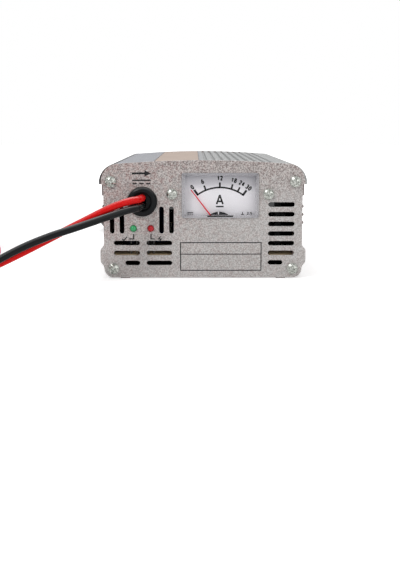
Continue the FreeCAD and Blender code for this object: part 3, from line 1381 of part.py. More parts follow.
def grip(half, with_neck):
    """Soft sleeve over a handle, closed at its end, with a neck where the lead goes in."""
    end = HANDLE_LENGTH + GRIP_END

    def wall(u, outer, thick):
        return handle_edge(u, outer) + (-thick if outer else thick)

    corners = [(GRIP_START, True), (end, True), (end, False), (GRIP_START, False)]
    points = [(-u, wall(u, outer, GRIP_WALL)) for u, outer in corners]
    sleeve = flat_plate(points[0], points[1:] + points[:1], half + GRIP_WALL)
    sleeve = sleeve.makeFillet(GRIP_ROUND, sleeve.Edges)
    corners = [(GRIP_START - 1.0, True), (HANDLE_LENGTH, True),
               (HANDLE_LENGTH, False), (GRIP_START - 1.0, False)]
    points = [(-u, wall(u, outer, FIT / 2.0)) for u, outer in corners]
    hollow = flat_plate(points[0], points[1:] + points[:1], half + FIT / 2.0)
    sleeve = sleeve.cut(hollow)
    if with_neck:
        y = -(HANDLE_SPREAD - HANDLE_THICK / 2.0)
        neck = Part.makeCylinder(GRIP_NECK_RADIUS, GRIP_NECK_LENGTH + GRIP_END / 2.0,
                                 V(-end - GRIP_NECK_LENGTH, y, 0), V(1, 0, 0))
        sleeve = fuse_all([sleeve, neck])
    return sleeve


def clamp_pin():
    reach = JAW_HALF_WIDTH
    pin = rod_z(0, 0, PIVOT_RADIUS, -reach, reach)
    heads = [rod_z(0, 0, PIVOT_HEAD, reach, reach + PIVOT_HEAD_THICK),
             rod_z(0, 0, PIVOT_HEAD, -reach - PIVOT_HEAD_THICK, -reach)]
    return fuse_all([pin] + heads)


def clamp_spring():
    """Torsion spring round the pin, with a leg along each handle."""
    low = -SPRING_PITCH * SPRING_TURNS / 2.0
    slope = math.radians(SPRING_SLOPE)
    turns = SPRING_TURNS + 0.5 - SPRING_SLOPE / 180.0

    def place(turn):
        angle = slope - math.pi / 2.0 + math.radians(360.0 * turn)
        return V(SPRING_RADIUS * math.cos(angle), SPRING_RADIUS * math.sin(angle),
                 low + SPRING_PITCH * turn)

    here = place(0)
    way = V(math.cos(slope), math.sin(slope), 0)
    edges = [Part.LineSegment(here - way * SPRING_LEG, here).toShape()]
    steps = 4 * SPRING_TURNS + 1
    for step in range(1, steps + 1):
        turn = turns * step / steps
        point = place(turn)
        tangent = direction(place, turn)
        if step == steps:
            tangent = V(-math.cos(slope), math.sin(slope), 0)
        edges += biarc(here, way, point, tangent)
        here = point
        way = tangent
    edges.append(Part.LineSegment(here, here + way * SPRING_LEG).toShape())
    tube, length = sweep(edges, SPRING_WIRE)
    check_tube("clamp spring", tube, SPRING_WIRE, length)
    print("clamp spring least gap to itself", round(SPRING_PITCH - 2.0 * SPRING_WIRE, 2))
    return tube


def laid_out(shape, colour):
    """A clamp's piece in its place on the table, nose away from the coil."""
    x, y = CLAMP_PLACES[colour]
    placed = shape.copy()
    placed.rotate(V(0, 0, 0), V(0, 0, 1), 90.0)
    if colour == "black":
        placed = mirrored_x(placed)
    placed.translate(V(x, FRONT_Y + y, CLAMP_Z))
    return placed


def neck_end(colour):
    """Where the lead meets the grip's neck."""
    x, y = CLAMP_PLACES[colour]
    side = 1.0 if colour == "red" else -1.0
    return V(x + side * (HANDLE_SPREAD - HANDLE_THICK / 2.0),
             FRONT_Y + y - HANDLE_LENGTH - GRIP_END - GRIP_NECK_LENGTH, CLAMP_Z)


def make_clamps():
    moving_half = JAW_HALF_WIDTH - JAW_SHEET - JAW_SIDE_GAP
    middle = V(0, 0, 0)
    turned = V(0, 1, 0)
    fixed_jaw = jaw(JAW_HALF_WIDTH)
    moving_jaw = jaw(moving_half).mirror(middle, turned)
    fixed_grip = grip(JAW_HALF_WIDTH, True)
    moving_grip = grip(moving_half, False).mirror(middle, turned)
    pin = clamp_pin()
    spring = clamp_spring()
    colours = sorted(CLAMP_PLACES)
    for colour in colours:
        save(colour + "_clamp_fixed_jaw", laid_out(fixed_jaw, colour))
        save(colour + "_clamp_moving_jaw", laid_out(moving_jaw, colour))
        save(colour + "_clamp_fixed_grip", laid_out(fixed_grip, colour))
        save(colour + "_clamp_moving_grip", laid_out(moving_grip, colour))
    save("clamp_pins", Part.makeCompound([laid_out(pin, colour) for colour in colours]))
    save("clamp_springs", Part.makeCompound([laid_out(spring, colour) for colour in colours]))


def make_leads():
    free_tube("red_lead", RED_ROUTE, FRONT_Y, LEAD_RADIUS)
    free_tube("black_lead", BLACK_ROUTE, FRONT_Y, LEAD_RADIUS)
    free_tube("red_lead_end", RED_END_ROUTE, FRONT_Y, LEAD_RADIUS)
    save("red_lead_coil", wound_tube("red_lead_coil", lead_coil(0.0), 3.5, [], LEAD_RADIUS))
    neck = neck_end("black")
    last = V(neck.x, neck.y - 2.0 * LEAD_RADIUS, neck.z)
    tail = [((last.x, last.y, last.z), (0, 1, 0))]
    save("black_lead_coil", wound_tube("black_lead_coil", lead_coil(LEAD_PITCH), 3.25, tail,
                                       LEAD_RADIUS))
    save("red_inner_lead", inner_lead(LEAD_STACK, INNER_ASIDE))
    save("black_inner_lead", inner_lead(-LEAD_STACK, -INNER_ASIDE))
    free_tube("mains_cord", CORD_ROUTE, BACK_Y, CORD_RADIUS)
    save("mains_cord_coil", wound_tube("mains_cord_coil", cord_coil(), CORD_TURNS, [],
                                       CORD_RADIUS))
    free_tube("mains_cord_end", CORD_END_ROUTE, BACK_Y, CORD_RADIUS)
    save("mains_inner_cord", rod_y(IN_X, IN_Z, CORD_RADIUS, CORD_END_Y, BACK_Y + CORD_MOUTH))
    save("mains_plug_body", plug_body())
    save("mains_plug_pins", plug_pins())


# Making the nodes

def make_case():
    save("housing_cover", housing_cover())
    save("housing_base", housing_base())
    save("top_label", top_label())
    save("front_panel", front_panel())
    save("rear_panel", rear_panel())
    save("panel_screws", Part.makeCompound(
        [screw_set(screw_places(), FRONT_Y, -1, SCREW_RADIUS, SCREW_LENGTH),
         screw_set(screw_places(), BACK_Y, 1, SCREW_RADIUS, SCREW_LENGTH)]))
    save("out_grommet", out_grommet())
    save("in_grommet", grommet(IN_X, IN_Z, IN_RADIUS, IN_BORE, BACK_Y, 1))
    save("led_green", lamp(GREEN_X))
    save("led_red", lamp(RED_X))


def make_meter():
    save("meter_lens", meter_lens())
    save("meter_case", meter_case())
    save("meter_dial", meter_dial())
    save("meter_hub_cover", meter_hub_cover())
    save("meter_yoke", meter_yoke())
    save("meter_magnet", meter_magnet())
    save("meter_coil", meter_coil())
    save("meter_pointer", meter_pointer())
    save("meter_terminals", meter_terminals())
    places = [(x, METER_SCREW_Z) for x in meter_screw_xs()]
    save("meter_screws", screw_set(places, FRONT_Y, -1, METER_SCREW_RADIUS, METER_SCREW_LENGTH))


def make_fan():
    save("fan_frame", fan_frame())
    save("fan_stator", fan_stator())
    save("fan_impeller", fan_impeller())
    save("fan_shaft", fan_shaft())
    save("fan_screws", screw_set(fan_screw_places(), BACK_Y, 1, SCREW_RADIUS, FAN_SCREW_LENGTH))


def make_board():
    save("main_board", main_board())
    save("transformer_core", transformer_core())
    save("transformer_winding", transformer_winding())
    places = [(x, BACK_IN - MAINS_CAP_BACK) for x in MAINS_CAP_XS]
    save("mains_capacitors", capacitors(places, MAINS_CAP_RADIUS, MAINS_CAP_HEIGHT))
    places = [(x, FRONT_IN + y) for x, y in OUT_CAP_OFFSETS]
    save("output_capacitors", capacitors(places, OUT_CAP_RADIUS, OUT_CAP_HEIGHT))
    save("output_choke", output_choke())
    save("bridge_rectifier", block_on_board(BRIDGE_OFFSET[0], BACK_IN - BRIDGE_OFFSET[1],
                                            BRIDGE_SIZE))
    save("mains_terminal", block_on_board(IN_X, CORD_END_Y - TERMINAL_BLOCK_SIZE[1] / 2.0,
                                          TERMINAL_BLOCK_SIZE))
    save("fuse", Part.makeCompound([fuse_tube()] + fuse_clips()))
    save("heat_sink", heat_sink())
    save("power_transistors", power_transistors())


make_case()
make_meter()
make_fan()
make_board()
make_leads()
make_clamps()
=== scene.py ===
import bpy
import json
import math
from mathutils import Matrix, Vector


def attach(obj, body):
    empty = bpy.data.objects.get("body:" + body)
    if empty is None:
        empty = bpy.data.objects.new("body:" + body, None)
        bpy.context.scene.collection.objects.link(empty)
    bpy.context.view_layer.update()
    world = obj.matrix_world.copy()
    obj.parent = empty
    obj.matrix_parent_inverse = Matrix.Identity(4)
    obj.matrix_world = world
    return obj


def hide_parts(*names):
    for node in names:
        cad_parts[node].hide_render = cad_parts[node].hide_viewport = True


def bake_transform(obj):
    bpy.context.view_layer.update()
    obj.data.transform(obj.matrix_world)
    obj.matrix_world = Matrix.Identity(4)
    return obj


# Car battery charger seen from its meter end, on a white table. Metres, in the CAD frame.

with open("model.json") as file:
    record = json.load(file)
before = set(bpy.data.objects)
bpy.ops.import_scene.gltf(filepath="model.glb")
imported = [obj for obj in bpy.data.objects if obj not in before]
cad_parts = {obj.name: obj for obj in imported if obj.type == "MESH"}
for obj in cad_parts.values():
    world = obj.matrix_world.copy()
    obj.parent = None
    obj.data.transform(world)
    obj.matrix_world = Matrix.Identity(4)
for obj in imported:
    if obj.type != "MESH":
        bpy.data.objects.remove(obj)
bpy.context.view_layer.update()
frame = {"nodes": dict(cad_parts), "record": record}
MM = 0.001
FRONT = -85.0
BACK = 85.0


def mm(point):
    return Vector(point) * MM


# Camera

LOOK_DOWN = 9.3
LOOK_RIGHT = 0.34
camera = bpy.data.objects.new("camera", bpy.data.cameras.new("camera"))
bpy.context.scene.collection.objects.link(camera)
bpy.context.scene.camera = camera
camera.data.lens = 61.1
camera.data.sensor_width = 36.0
camera.location = (-0.004, -0.525, 0.069)
camera.rotation_euler = (math.radians(90.0 - LOOK_DOWN), 0.0, math.radians(-LOOK_RIGHT))

# Cords: the routes of the CAD tubes, as control points of one smooth curve each

LEAD_DIAMETER = 3.3
LEAD_PITCH = 3.8
LEAD_COIL = (-126.0, FRONT - 13.0)
LEAD_OUTER = 24.25
LEAD_REVERSAL = 1.625
LEAD_TURNS = {"red": 3.5, "black": 3.25}
COIL_STEPS = 16
COIL_STAND_OFF = 1.0195
TUBE_SIDES = 20
RED_ROUTE = (
    (-27.6, -2.0, 37.2), (-27.6, -9.6, 37.2), (-33.9, -13.9, 36.4),
    (-42.4, -16.3, 33.2), (-50.4, -18.3, 29.2), (-58.8, -20.8, 25.1),
    (-66.0, -23.2, 21.4), (-78.4, -27.2, 15.2), (-91.5, -31.1, 9.1),
    (-103.5, -34.6, 4.3), (-114.8, -37.25, 1.65))
BLACK_ROUTE = (
    (-27.6, -2.0, 33.6), (-27.6, -9.6, 33.6), (-33.3, -14.9, 32.8),
    (-41.6, -18.5, 30.2), (-49.2, -21.7, 27.8), (-57.6, -24.4, 25.1),
    (-65.0, -26.4, 23.0), (-77.6, -29.6, 18.2), (-90.5, -34.1, 11.3),
    (-102.5, -38.1, 4.9), (-114.6, -41.05, 1.65))
RED_END = (
    (-122.7, 13.15, 5.45), (-118.1, 13.15, 5.45), (-112.6, 15.4, 4.6),
    (-108.9, 20.4, 3.0), (-107.4, 30.0, 1.9), (-107.6, 44.0, 1.65),
    (-108.2, 59.0, 1.8), (-108.6, 73.0, 2.4), (-111.2, 84.5, 4.4),
    (-116.4, 93.0, 7.4), (-119.5, 99.0, 8.6), (-119.5, 104.0, 8.6))
BLACK_END = ((-154.05, -5.75, 5.45), (-149.0, 7.45, 8.6), (-149.0, 14.7, 8.6),
             (-149.0, 18.0, 8.6))
CORD_HIGH = 6.2
CORD_WIDE = 5.0
CORD_COIL = (-24.0, BACK + 62.0)
CORD_OUTER = 39.9
CORD_PITCH = 6.75
CORD_TURNS = 5.25
CORD_ROUTE = (
    (-30.6, 1.0, 14.5), (-30.6, 8.6, 14.5), (-35.8, 13.6, 13.9),
    (-45.5, 14.6, 13.9), (-54.8, 19.4, 13.4), (-61.7, 27.4, 11.8),
    (-65.0, 36.3, 8.8), (-65.1, 44.5, 5.8), (-63.9, 53.2, 3.1))
CORD_END = (
    (-17.8, 101.9, 9.85), (-8.8, 101.9, 9.85), (1.5, 101.9, 6.85), (10.5, 101.9, 6.85))


def from_face(route, face):
    """Route points whose Y starts at a panel's outer face, as places in the frame."""
    return [(x, face + y, z) for x, y, z in route]


def coil_points(centre, start, reversal, outer, pitch, low, rise, turns):
    """Control points of a coil that spirals in to its reversal, climbs there, and out."""
    points = []
    for step in range(int(round(turns * COIL_STEPS)) + 1):
        turn = step / COIL_STEPS
        radius = (outer - (reversal - abs(turn - reversal)) * pitch) * COIL_STAND_OFF
        part = max(0.0, min(1.0, (turn - reversal) * 2.0 + 0.5))
        height = low + rise * part * part * (3.0 - 2.0 * part)
        angle = math.radians(start - 360.0 * turn)
        points.append((centre[0] + radius * math.cos(angle),
                       centre[1] + radius * math.sin(angle), height))
    return points


def centreline(points):
    """Points in metres along one smooth curve through the control points."""
    data = bpy.data.curves.new("centreline", "CURVE")
    data.dimensions = "3D"
    data.resolution_u = 8
    spline = data.splines.new("NURBS")
    spline.points.add(len(points) - 1)
    for knot, point in zip(spline.points, points):
        knot.co = (*mm(point), 1.0)
    spline.order_u = 3
    spline.use_endpoint_u = True
    piece = bpy.data.objects.new("centreline", data)
    bpy.context.scene.collection.objects.link(piece)
    shape = bpy.data.meshes.new_from_object(piece)
    line = [vertex.co.copy() for vertex in shape.vertices]
    bpy.data.meshes.remove(shape)
    bpy.data.objects.remove(piece)
    bpy.data.curves.remove(data)
    return line


def mesh_piece(name, vertices, faces, smooth=False):
    data = bpy.data.meshes.new(name)
    data.from_pydata([tuple(v) for v in vertices], [], faces)
    data.validate()
    for polygon in data.polygons:
        polygon.use_smooth = smooth
    piece = bpy.data.objects.new(name, data)
    bpy.context.scene.collection.objects.link(piece)
    return piece


def oval_tube(name, line, wide, high):
    """Tube of oval section that keeps its long side upright along a line."""
    vertices = []
    faces = []
    for index, point in enumerate(line):
        before = line[max(index - 1, 0)]
        after = line[min(index + 1, len(line) - 1)]
        along = (after - before).normalized()
        across = Vector((0, 0, 1)).cross(along).normalized()
        up = along.cross(across)
        for side in range(TUBE_SIDES):
            turn = 2.0 * math.pi * side / TUBE_SIDES
            vertices.append(point + across * (math.cos(turn) * wide / 2.0 * MM)
                            + up * (math.sin(turn) * high / 2.0 * MM))
        if index:
            low = (index - 1) * TUBE_SIDES
            for side in range(TUBE_SIDES):
                other = (side + 1) % TUBE_SIDES
                faces.append((low + side, low + other,
                              low + TUBE_SIDES + other, low + TUBE_SIDES + side))
    faces.append(tuple(range(TUBE_SIDES - 1, -1, -1)))
    faces.append(tuple(range(len(vertices) - TUBE_SIDES, len(vertices))))
    return mesh_piece(name, vertices, faces, True)


def lead_points(route, offset, turns, end):
    coil = coil_points(LEAD_COIL, -90.0, LEAD_REVERSAL, LEAD_OUTER + offset,
                       2.0 * LEAD_PITCH, LEAD_DIAMETER / 2.0, LEAD_PITCH, turns)
    return from_face(route, FRONT) + coil + from_face(end, FRONT)


lead_knots = {"red": lead_points(RED_ROUTE, 0.0, LEAD_TURNS["red"], RED_END),
              "black": lead_points(BLACK_ROUTE, LEAD_PITCH, LEAD_TURNS["black"], BLACK_END)}
leads = {}
for colour, points in lead_knots.items():
    lead_line = centreline(points)
    lead = oval_tube(colour + "_lead_cord", lead_line, LEAD_DIAMETER, LEAD_DIAMETER)
    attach(lead, "charger")
    nodes = [colour + "_lead", colour + "_lead_coil"]
    if colour == "red":
        nodes.append("red_lead_end")
    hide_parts(*nodes)
    leads[colour] = lead

cord_knots = (from_face(CORD_ROUTE, BACK)
              + coil_points(CORD_COIL, 180.0, CORD_TURNS / 2.0, CORD_OUTER, CORD_PITCH,
                            CORD_HIGH / 2.0, CORD_PITCH, CORD_TURNS)
              + from_face(CORD_END, BACK))
cord_line = centreline(cord_knots)
cord = oval_tube("mains_cord_sheath", cord_line, CORD_WIDE, CORD_HIGH)
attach(cord, "charger")
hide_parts("mains_cord", "mains_cord_coil", "mains_cord_end")


# Materials: scales and depths of grain, and places in metres where a finish changes

GRAIN_DARK = 0.25
MOULD_GRAIN = 3000.0
MOULD_DEPTH = 0.00001
WINDOW = (0.0078, 0.0381)
FUSE_MIDDLE = -0.014


def material(name, color, metallic=0.0, rough=0.5, specular=0.5):
    made = bpy.data.materials.new(name)
    made.use_nodes = True
    shader = made.node_tree.nodes["Principled BSDF"]
    shader.inputs["Base Color"].default_value = (*color, 1.0)
    shader.inputs["Metallic"].default_value = metallic
    shader.inputs["Roughness"].default_value = rough
    shader.inputs["Specular IOR Level"].default_value = specular
    return made


class Tree:
    """Short ways to add shader nodes to one material."""

    def __init__(self, made, shader="Principled BSDF"):
        self.tree = made.node_tree
        self.shader = self.tree.nodes[shader]
        self.place = self.node("ShaderNodeTexCoord").outputs["Object"]

    def node(self, kind, **settings):
        made = self.tree.nodes.new(kind)
        for key, value in settings.items():
            setattr(made, key, value)
        return made

    def link(self, value, socket):
        if isinstance(value, (int, float)):
            socket.default_value = value
        elif isinstance(value, tuple):
            socket.default_value = (*value, 1.0) if len(value) == 3 else value
        else:
            self.tree.links.new(value, socket)

    def noise(self, scale, detail=2.0, stretch=(1, 1, 1)):
        mapping = self.node("ShaderNodeMapping")
        mapping.inputs["Scale"].default_value = stretch
        self.link(self.place, mapping.inputs["Vector"])
        made = self.node("ShaderNodeTexNoise")
        made.inputs["Scale"].default_value = scale
        made.inputs["Detail"].default_value = detail
        self.link(mapping.outputs["Vector"], made.inputs["Vector"])
        return made.outputs["Fac"]

    def ramp(self, value, low, high):
        """Goes from 0 at low to 1 at high."""
        made = self.node("ShaderNodeMapRange")
        self.link(value, made.inputs["Value"])
        made.inputs["From Min"].default_value = low
        made.inputs["From Max"].default_value = high
        return made.outputs["Result"]

    def mix(self, share, first, second):
        made = self.node("ShaderNodeMix", data_type="RGBA")
        self.link(share, made.inputs["Factor"])
        self.link(first, made.inputs[6])
        self.link(second, made.inputs[7])
        return made.outputs[2]

    def math(self, operation, first, second=0.0):
        made = self.node("ShaderNodeMath", operation=operation)
        self.link(first, made.inputs[0])
        self.link(second, made.inputs[1])
        return made.outputs[0]

    def axis(self, name):
        split = self.node("ShaderNodeSeparateXYZ")
        self.link(self.place, split.inputs[0])
        return split.outputs[name]

    def normal(self, name):
        """One part of the direction that the surface faces."""
        split = self.node("ShaderNodeSeparateXYZ")
        self.link(self.node("ShaderNodeNewGeometry").outputs["Normal"], split.inputs[0])
        return split.outputs[name]

    def off_middle(self, name, middle):
        """Distance from a middle along an axis, whichever way."""
        return self.math("ABSOLUTE", self.math("SUBTRACT", self.axis(name), middle))

    def bump(self, value, distance, strength=1.0):
        made = self.node("ShaderNodeBump")
        made.inputs["Strength"].default_value = strength
        made.inputs["Distance"].default_value = distance
        self.link(value, made.inputs["Height"])
        self.link(made.outputs["Normal"], self.shader.inputs["Normal"])

    def set(self, name, value):
        self.link(value, self.shader.inputs[name])

    def body_over(self, share, see):
        """The material's own body in the given share, and a see-through shader elsewhere."""
        last = self.node("ShaderNodeMixShader")
        self.link(share, last.inputs[0])
        self.link(see.outputs[0], last.inputs[1])
        self.link(self.shader.outputs[0], last.inputs[2])
        self.link(last.outputs[0], self.tree.nodes["Material Output"].inputs["Surface"])


def powder_coat():
    """Silver coat with dark, reddish and bright flecks on the faces, bare metal on cut edges."""
    made = material("powder_coat", (0.42, 0.4, 0.38), rough=0.6, specular=0.2)
    tree = Tree(made)
    flecks = tree.ramp(tree.noise(1750.0, 1.5), 0.36, 0.64)
    tint = tree.ramp(tree.noise(700.0, 1.0), 0.42, 0.60)
    sparks = tree.ramp(tree.noise(2600.0, 0.0, (1.0, 1.0, 1.35)), 0.66, 0.72)
    upper = tree.mix(flecks, (0.19, 0.155, 0.15), (0.63, 0.585, 0.565))
    lower = tree.mix(flecks, (0.39, 0.365, 0.355), (0.61, 0.595, 0.585))
    high = tree.ramp(tree.axis("Z"), 0.034, 0.052)
    left = tree.ramp(tree.axis("X"), 0.012, -0.042)
    rich = tree.math("MULTIPLY", left, tree.ramp(tree.axis("Z"), 0.014, 0.030))
    color = tree.mix(tree.math("MAXIMUM", high, tree.math("MULTIPLY", rich, 0.7)), lower, upper)
    warm = tree.mix(flecks, (0.30, 0.17, 0.16), (0.62, 0.52, 0.49))
    tinted = tree.math("MULTIPLY", tint, tree.math("ADD", tree.math("MULTIPLY", rich, 0.45), 0.2))
    color = tree.mix(tinted, color, warm)
    color = tree.mix(tree.math("MULTIPLY", sparks, 0.5), color, (0.9, 0.89, 0.87))
    coated = tree.ramp(tree.math("ABSOLUTE", tree.normal("Y")), 0.5, 0.8)
    tree.set("Base Color", tree.mix(coated, (0.80, 0.80, 0.78), color))
    tree.set("Metallic", tree.math("SUBTRACT", 0.6, tree.math("MULTIPLY", coated, 0.6)))
    tree.bump(flecks, 0.00005, 0.4)
    return made


def brushed(name, color, rough):
    """Drawn metal with its grain along the case."""
    made = material(name, color, metallic=0.85, rough=rough)
    tree = Tree(made)
    lines = tree.noise(4000.0, 2.0, (1.0, 0.02, 1.0))
    tree.set("Base Color", tree.mix(tree.ramp(lines, 0.3, 0.7),
                                    tuple(c * (1.0 - GRAIN_DARK) for c in color), color))
    tree.set("Roughness", tree.math("ADD", tree.math("MULTIPLY", lines, 0.2), rough - 0.1))
    return made


def cover_metal():
    """Blue-grey top, lighter on its fins; its left shoulder is painted near-black as shade."""
    made = material("cover_metal", (0.4, 0.42, 0.45), rough=0.55, specular=0.15)
    tree = Tree(made)
    lines = tree.ramp(tree.noise(3000.0, 2.0, (1.0, 0.02, 1.0)), 0.3, 0.7)
    finned = tree.ramp(tree.axis("X"), -0.002, 0.0)
    smooth = tree.mix(lines, (0.27, 0.275, 0.30), (0.36, 0.365, 0.39))
    ribs = tree.mix(lines, (0.30, 0.305, 0.305), (0.44, 0.445, 0.445))
    top = tree.mix(finned, smooth, ribs)
    # painted shade: the cover's left shoulder turns near-black and loses its metal look
    left = tree.ramp(tree.axis("X"), -0.0385, -0.0405)
    color = tree.mix(left, top, (0.02, 0.018, 0.018))
    tree.set("Base Color", color)
    tree.set("Metallic", tree.math("SUBTRACT", 0.15, tree.math("MULTIPLY", left, 0.15)))
    return made


def clear(name, tint, gloss):
    """Clear plastic that shows what lies behind it."""
    made = material(name, tint, rough=0.05)
    tree = Tree(made)
    see = tree.node("ShaderNodeBsdfTransparent")
    see.inputs["Color"].default_value = (*tint, 1.0)
    blend = tree.node("ShaderNodeMixShader")
    weight = tree.node("ShaderNodeLayerWeight")
    weight.inputs["Blend"].default_value = gloss
    shine = tree.node("ShaderNodeBsdfGlossy")
    shine.inputs["Roughness"].default_value = 0.08
    tree.link(weight.outputs["Fresnel"], blend.inputs[0])
    tree.link(see.outputs[0], blend.inputs[1])
    tree.link(shine.outputs[0], blend.inputs[2])
    return made, tree, blend


def lens_plastic():
    """Clear in the window; paler along the moulded border as a painted highlight of its rounded
    edges, and near-black as painted shade where it lies behind the panel.
    """
    made, tree, blend = clear("lens_plastic", (1.0, 1.0, 1.0), 0.08)
    across = tree.off_middle("X", WINDOW[0])
    upright = tree.off_middle("Z", WINDOW[1])
    # painted highlight: the border walls and rim are made paler and less clear
    wall = tree.math("MAXIMUM", tree.ramp(across, 0.0160, 0.0163),
                     tree.ramp(upright, 0.0089, 0.0092))
    rim = tree.math("MAXIMUM", tree.ramp(across, 0.0170, 0.0173),
                    tree.ramp(upright, 0.0098, 0.0100))
    # painted shade: the lens is opaque and near-black where it lies behind the panel
    shaded_behind_panel = tree.math("MAXIMUM", tree.ramp(across, 0.01745, 0.01755),
                       tree.ramp(upright, 0.01015, 0.01025))
    tree.set("Base Color", tree.mix(shaded_behind_panel, (0.60, 0.59, 0.62), (0.012, 0.012, 0.014)))
    body = tree.math("MAXIMUM", tree.math("MULTIPLY", wall, 0.3), tree.math("MULTIPLY", rim, 0.8))
    tree.body_over(tree.math("MAXIMUM", body, shaded_behind_panel), blend)
    return made


def glass_tube():
    """Glass between two metal caps."""
    made, tree, blend = clear("fuse_glass_tube", (0.9, 0.93, 0.93), 0.3)
    caps = tree.ramp(tree.off_middle("X", FUSE_MIDDLE), 0.005, 0.0051)
    tree.set("Base Color", (0.75, 0.75, 0.74))
    tree.set("Metallic", 1.0)
    tree.body_over(caps, blend)
    return made


def dial_face():
    """Pale plate with a painted shadow that darkens it under the top edge of its window."""
    made = material("dial_face", (0.9, 0.89, 0.93), rough=0.45)
    tree = Tree(made)
    # painted shadow: the plate gets darker towards the top, under the window's top edge
    painted_shadow = tree.ramp(tree.axis("Z"), 0.040, 0.0475)
    tree.set("Base Color", tree.mix(painted_shadow, (0.94, 0.92, 0.96), (0.58, 0.57, 0.62)))
    return made


def zinc():
    """Zinc plate in light and dark patches."""
    made = material("zinc_plate", (0.38, 0.39, 0.37), metallic=1.0, rough=0.28)
    tree = Tree(made)
    cloud = tree.noise(900.0, 2.0)
    tree.set("Roughness", tree.math("ADD", tree.math("MULTIPLY", cloud, 0.25), 0.18))
    patches = tree.ramp(tree.noise(1500.0, 2.0), 0.38, 0.62)
    tree.set("Base Color", tree.mix(patches, (0.17, 0.18, 0.16), (0.50, 0.51, 0.48)))
    return made


def matt(name, color, rough):
    """Plain moulded or coated surface with a fine grain."""
    made = material(name, color, rough=rough, specular=0.25)
    tree = Tree(made)
    tree.bump(tree.noise(MOULD_GRAIN, 2.0), MOULD_DEPTH, 0.6)
    return made


def sheath(name, color, rough):
    """Smooth soft skin that shines on its upper side."""
    made = material(name, color, rough=rough, specular=0.2)
    tree = Tree(made)
    sheen = tree.math("MULTIPLY", tree.ramp(tree.normal("Z"), 0.35, 0.8), 0.75)
    tree.set("Specular IOR Level", tree.math("ADD", sheen, 0.1))
    tree.bump(tree.noise(500.0, 1.0), 0.00003, 0.35)
    return made


def lead_sheath(name, color):
    """Glossy soft sheath; inside the case the lead is painted near-black as shade."""
    made = sheath(name, color, 0.2)
    tree = Tree(made)
    # painted shade: the lead turns near-black where it lies inside the case
    behind = tree.ramp(tree.axis("Y"), -0.0836, -0.0834)
    shaded_inside = tree.math("MULTIPLY", behind, tree.ramp(tree.axis("X"), -0.0480, -0.0475))
    tree.set("Base Color", tree.mix(shaded_inside, color, (0.01, 0.01, 0.011)))
    return made


def lamp_resin(name, color, glow):
    """Tinted resin with a painted glow in its heart that gives way to the darker tint at its rim;
    the legs behind the panel are painted dark as shade.
    """
    made = material(name, color, rough=0.15, specular=0.3)
    tree = Tree(made)
    # painted glow: the resin is paler where it faces the camera and darker towards its rim
    face = tree.node("ShaderNodeLayerWeight")
    face.inputs["Blend"].default_value = 0.35
    rim = tree.ramp(face.outputs["Facing"], 0.05, 0.75)
    resin = tree.mix(rim, glow, color)
    # painted shade: the legs behind the panel are made near-black
    legs = tree.ramp(tree.axis("Y"), -0.0832, -0.0831)
    tree.set("Base Color", tree.mix(legs, resin, (0.03, 0.03, 0.03)))
    return made


def film():
    """Satin copper-coloured film with a faint cloud in it."""
    made = material("copper_film", (0.5, 0.41, 0.35), rough=0.5, specular=0.1)
    tree = Tree(made)
    cloud = tree.ramp(tree.noise(120.0, 2.0), 0.35, 0.65)
    tree.set("Base Color", tree.mix(cloud, (0.44, 0.345, 0.29), (0.49, 0.385, 0.32)))
    return made


def laminate():
    """Brown board with a fibrous tint."""
    made = material("board_laminate", (0.62, 0.46, 0.28), rough=0.55)
    tree = Tree(made)
    tree.set("Base Color", tree.mix(tree.noise(700.0, 3.0), (0.55, 0.40, 0.24), (0.72, 0.56, 0.36)))
    return made


finishes = {
    "case_aluminium": cover_metal(),
    "base_aluminium": matt("base_coat", (0.12, 0.075, 0.07), 0.4),
    "copper_label": film(),
    "panel_powder": powder_coat(),
    "screw_zinc": zinc(),
    "lens_clear": lens_plastic(),
    "meter_black": matt("meter_moulding", (0.012, 0.012, 0.014), 0.45),
    "dial_print": dial_face(),
    "pointer_red": matt("needle_lacquer", (0.75, 0.05, 0.07), 0.4),
    "iron": matt("soft_iron", (0.16, 0.16, 0.17), 0.5),
    "copper_wire": brushed("enamelled_wire", (0.62, 0.27, 0.10), 0.35),
    "brass": material("bright_brass", (0.75, 0.58, 0.28), 1.0, 0.3),
    "lamp_green": lamp_resin("lamp_green_resin", (0.01, 0.20, 0.06), (0.05, 0.42, 0.16)),
    "lamp_red": lamp_resin("lamp_red_resin", (0.25, 0.002, 0.006), (0.62, 0.010, 0.02)),
    "grommet_rubber": sheath("grommet_rubber_black", (0.007, 0.008, 0.009), 0.3),
    "fan_plastic": matt("fan_moulding", (0.014, 0.014, 0.015), 0.4),
    "shaft_steel": material("ground_steel", (0.6, 0.6, 0.61), 1.0, 0.28),
    "board": laminate(),
    "ferrite": matt("ferrite_grey", (0.05, 0.05, 0.055), 0.55),
    "winding_tape": sheath("winding_tape_yellow", (0.75, 0.55, 0.08), 0.35),
    "capacitor_sleeve": sheath("capacitor_sleeve_blue", (0.02, 0.03, 0.10), 0.35),
    "component_black": matt("component_moulding", (0.02, 0.02, 0.02), 0.5),
    "terminal_green": matt("terminal_moulding", (0.03, 0.28, 0.12), 0.4),
    "fuse_glass": glass_tube(),
    "sink_aluminium": matt("sink_anodised", (0.02, 0.02, 0.022), 0.45),
    "lead_red": lead_sheath("lead_sheath_red", (0.72, 0.008, 0.008)),
    "lead_black": lead_sheath("lead_sheath_black", (0.009, 0.010, 0.011)),
    "cord_black": sheath("cord_sheath_black", (0.012, 0.012, 0.013), 0.3),
    "plug_black": matt("plug_moulding", (0.014, 0.014, 0.015), 0.42),
    "pin_nickel": material("pin_nickel_plate", (0.78, 0.76, 0.72), 1.0, 0.18),
    "clamp_steel": zinc(),
    "spring_steel": material("spring_wire", (0.6, 0.6, 0.62), 1.0, 0.25),
}
slots = {part["node"]: part["material_slot"] for part in frame["record"]["subparts"]}
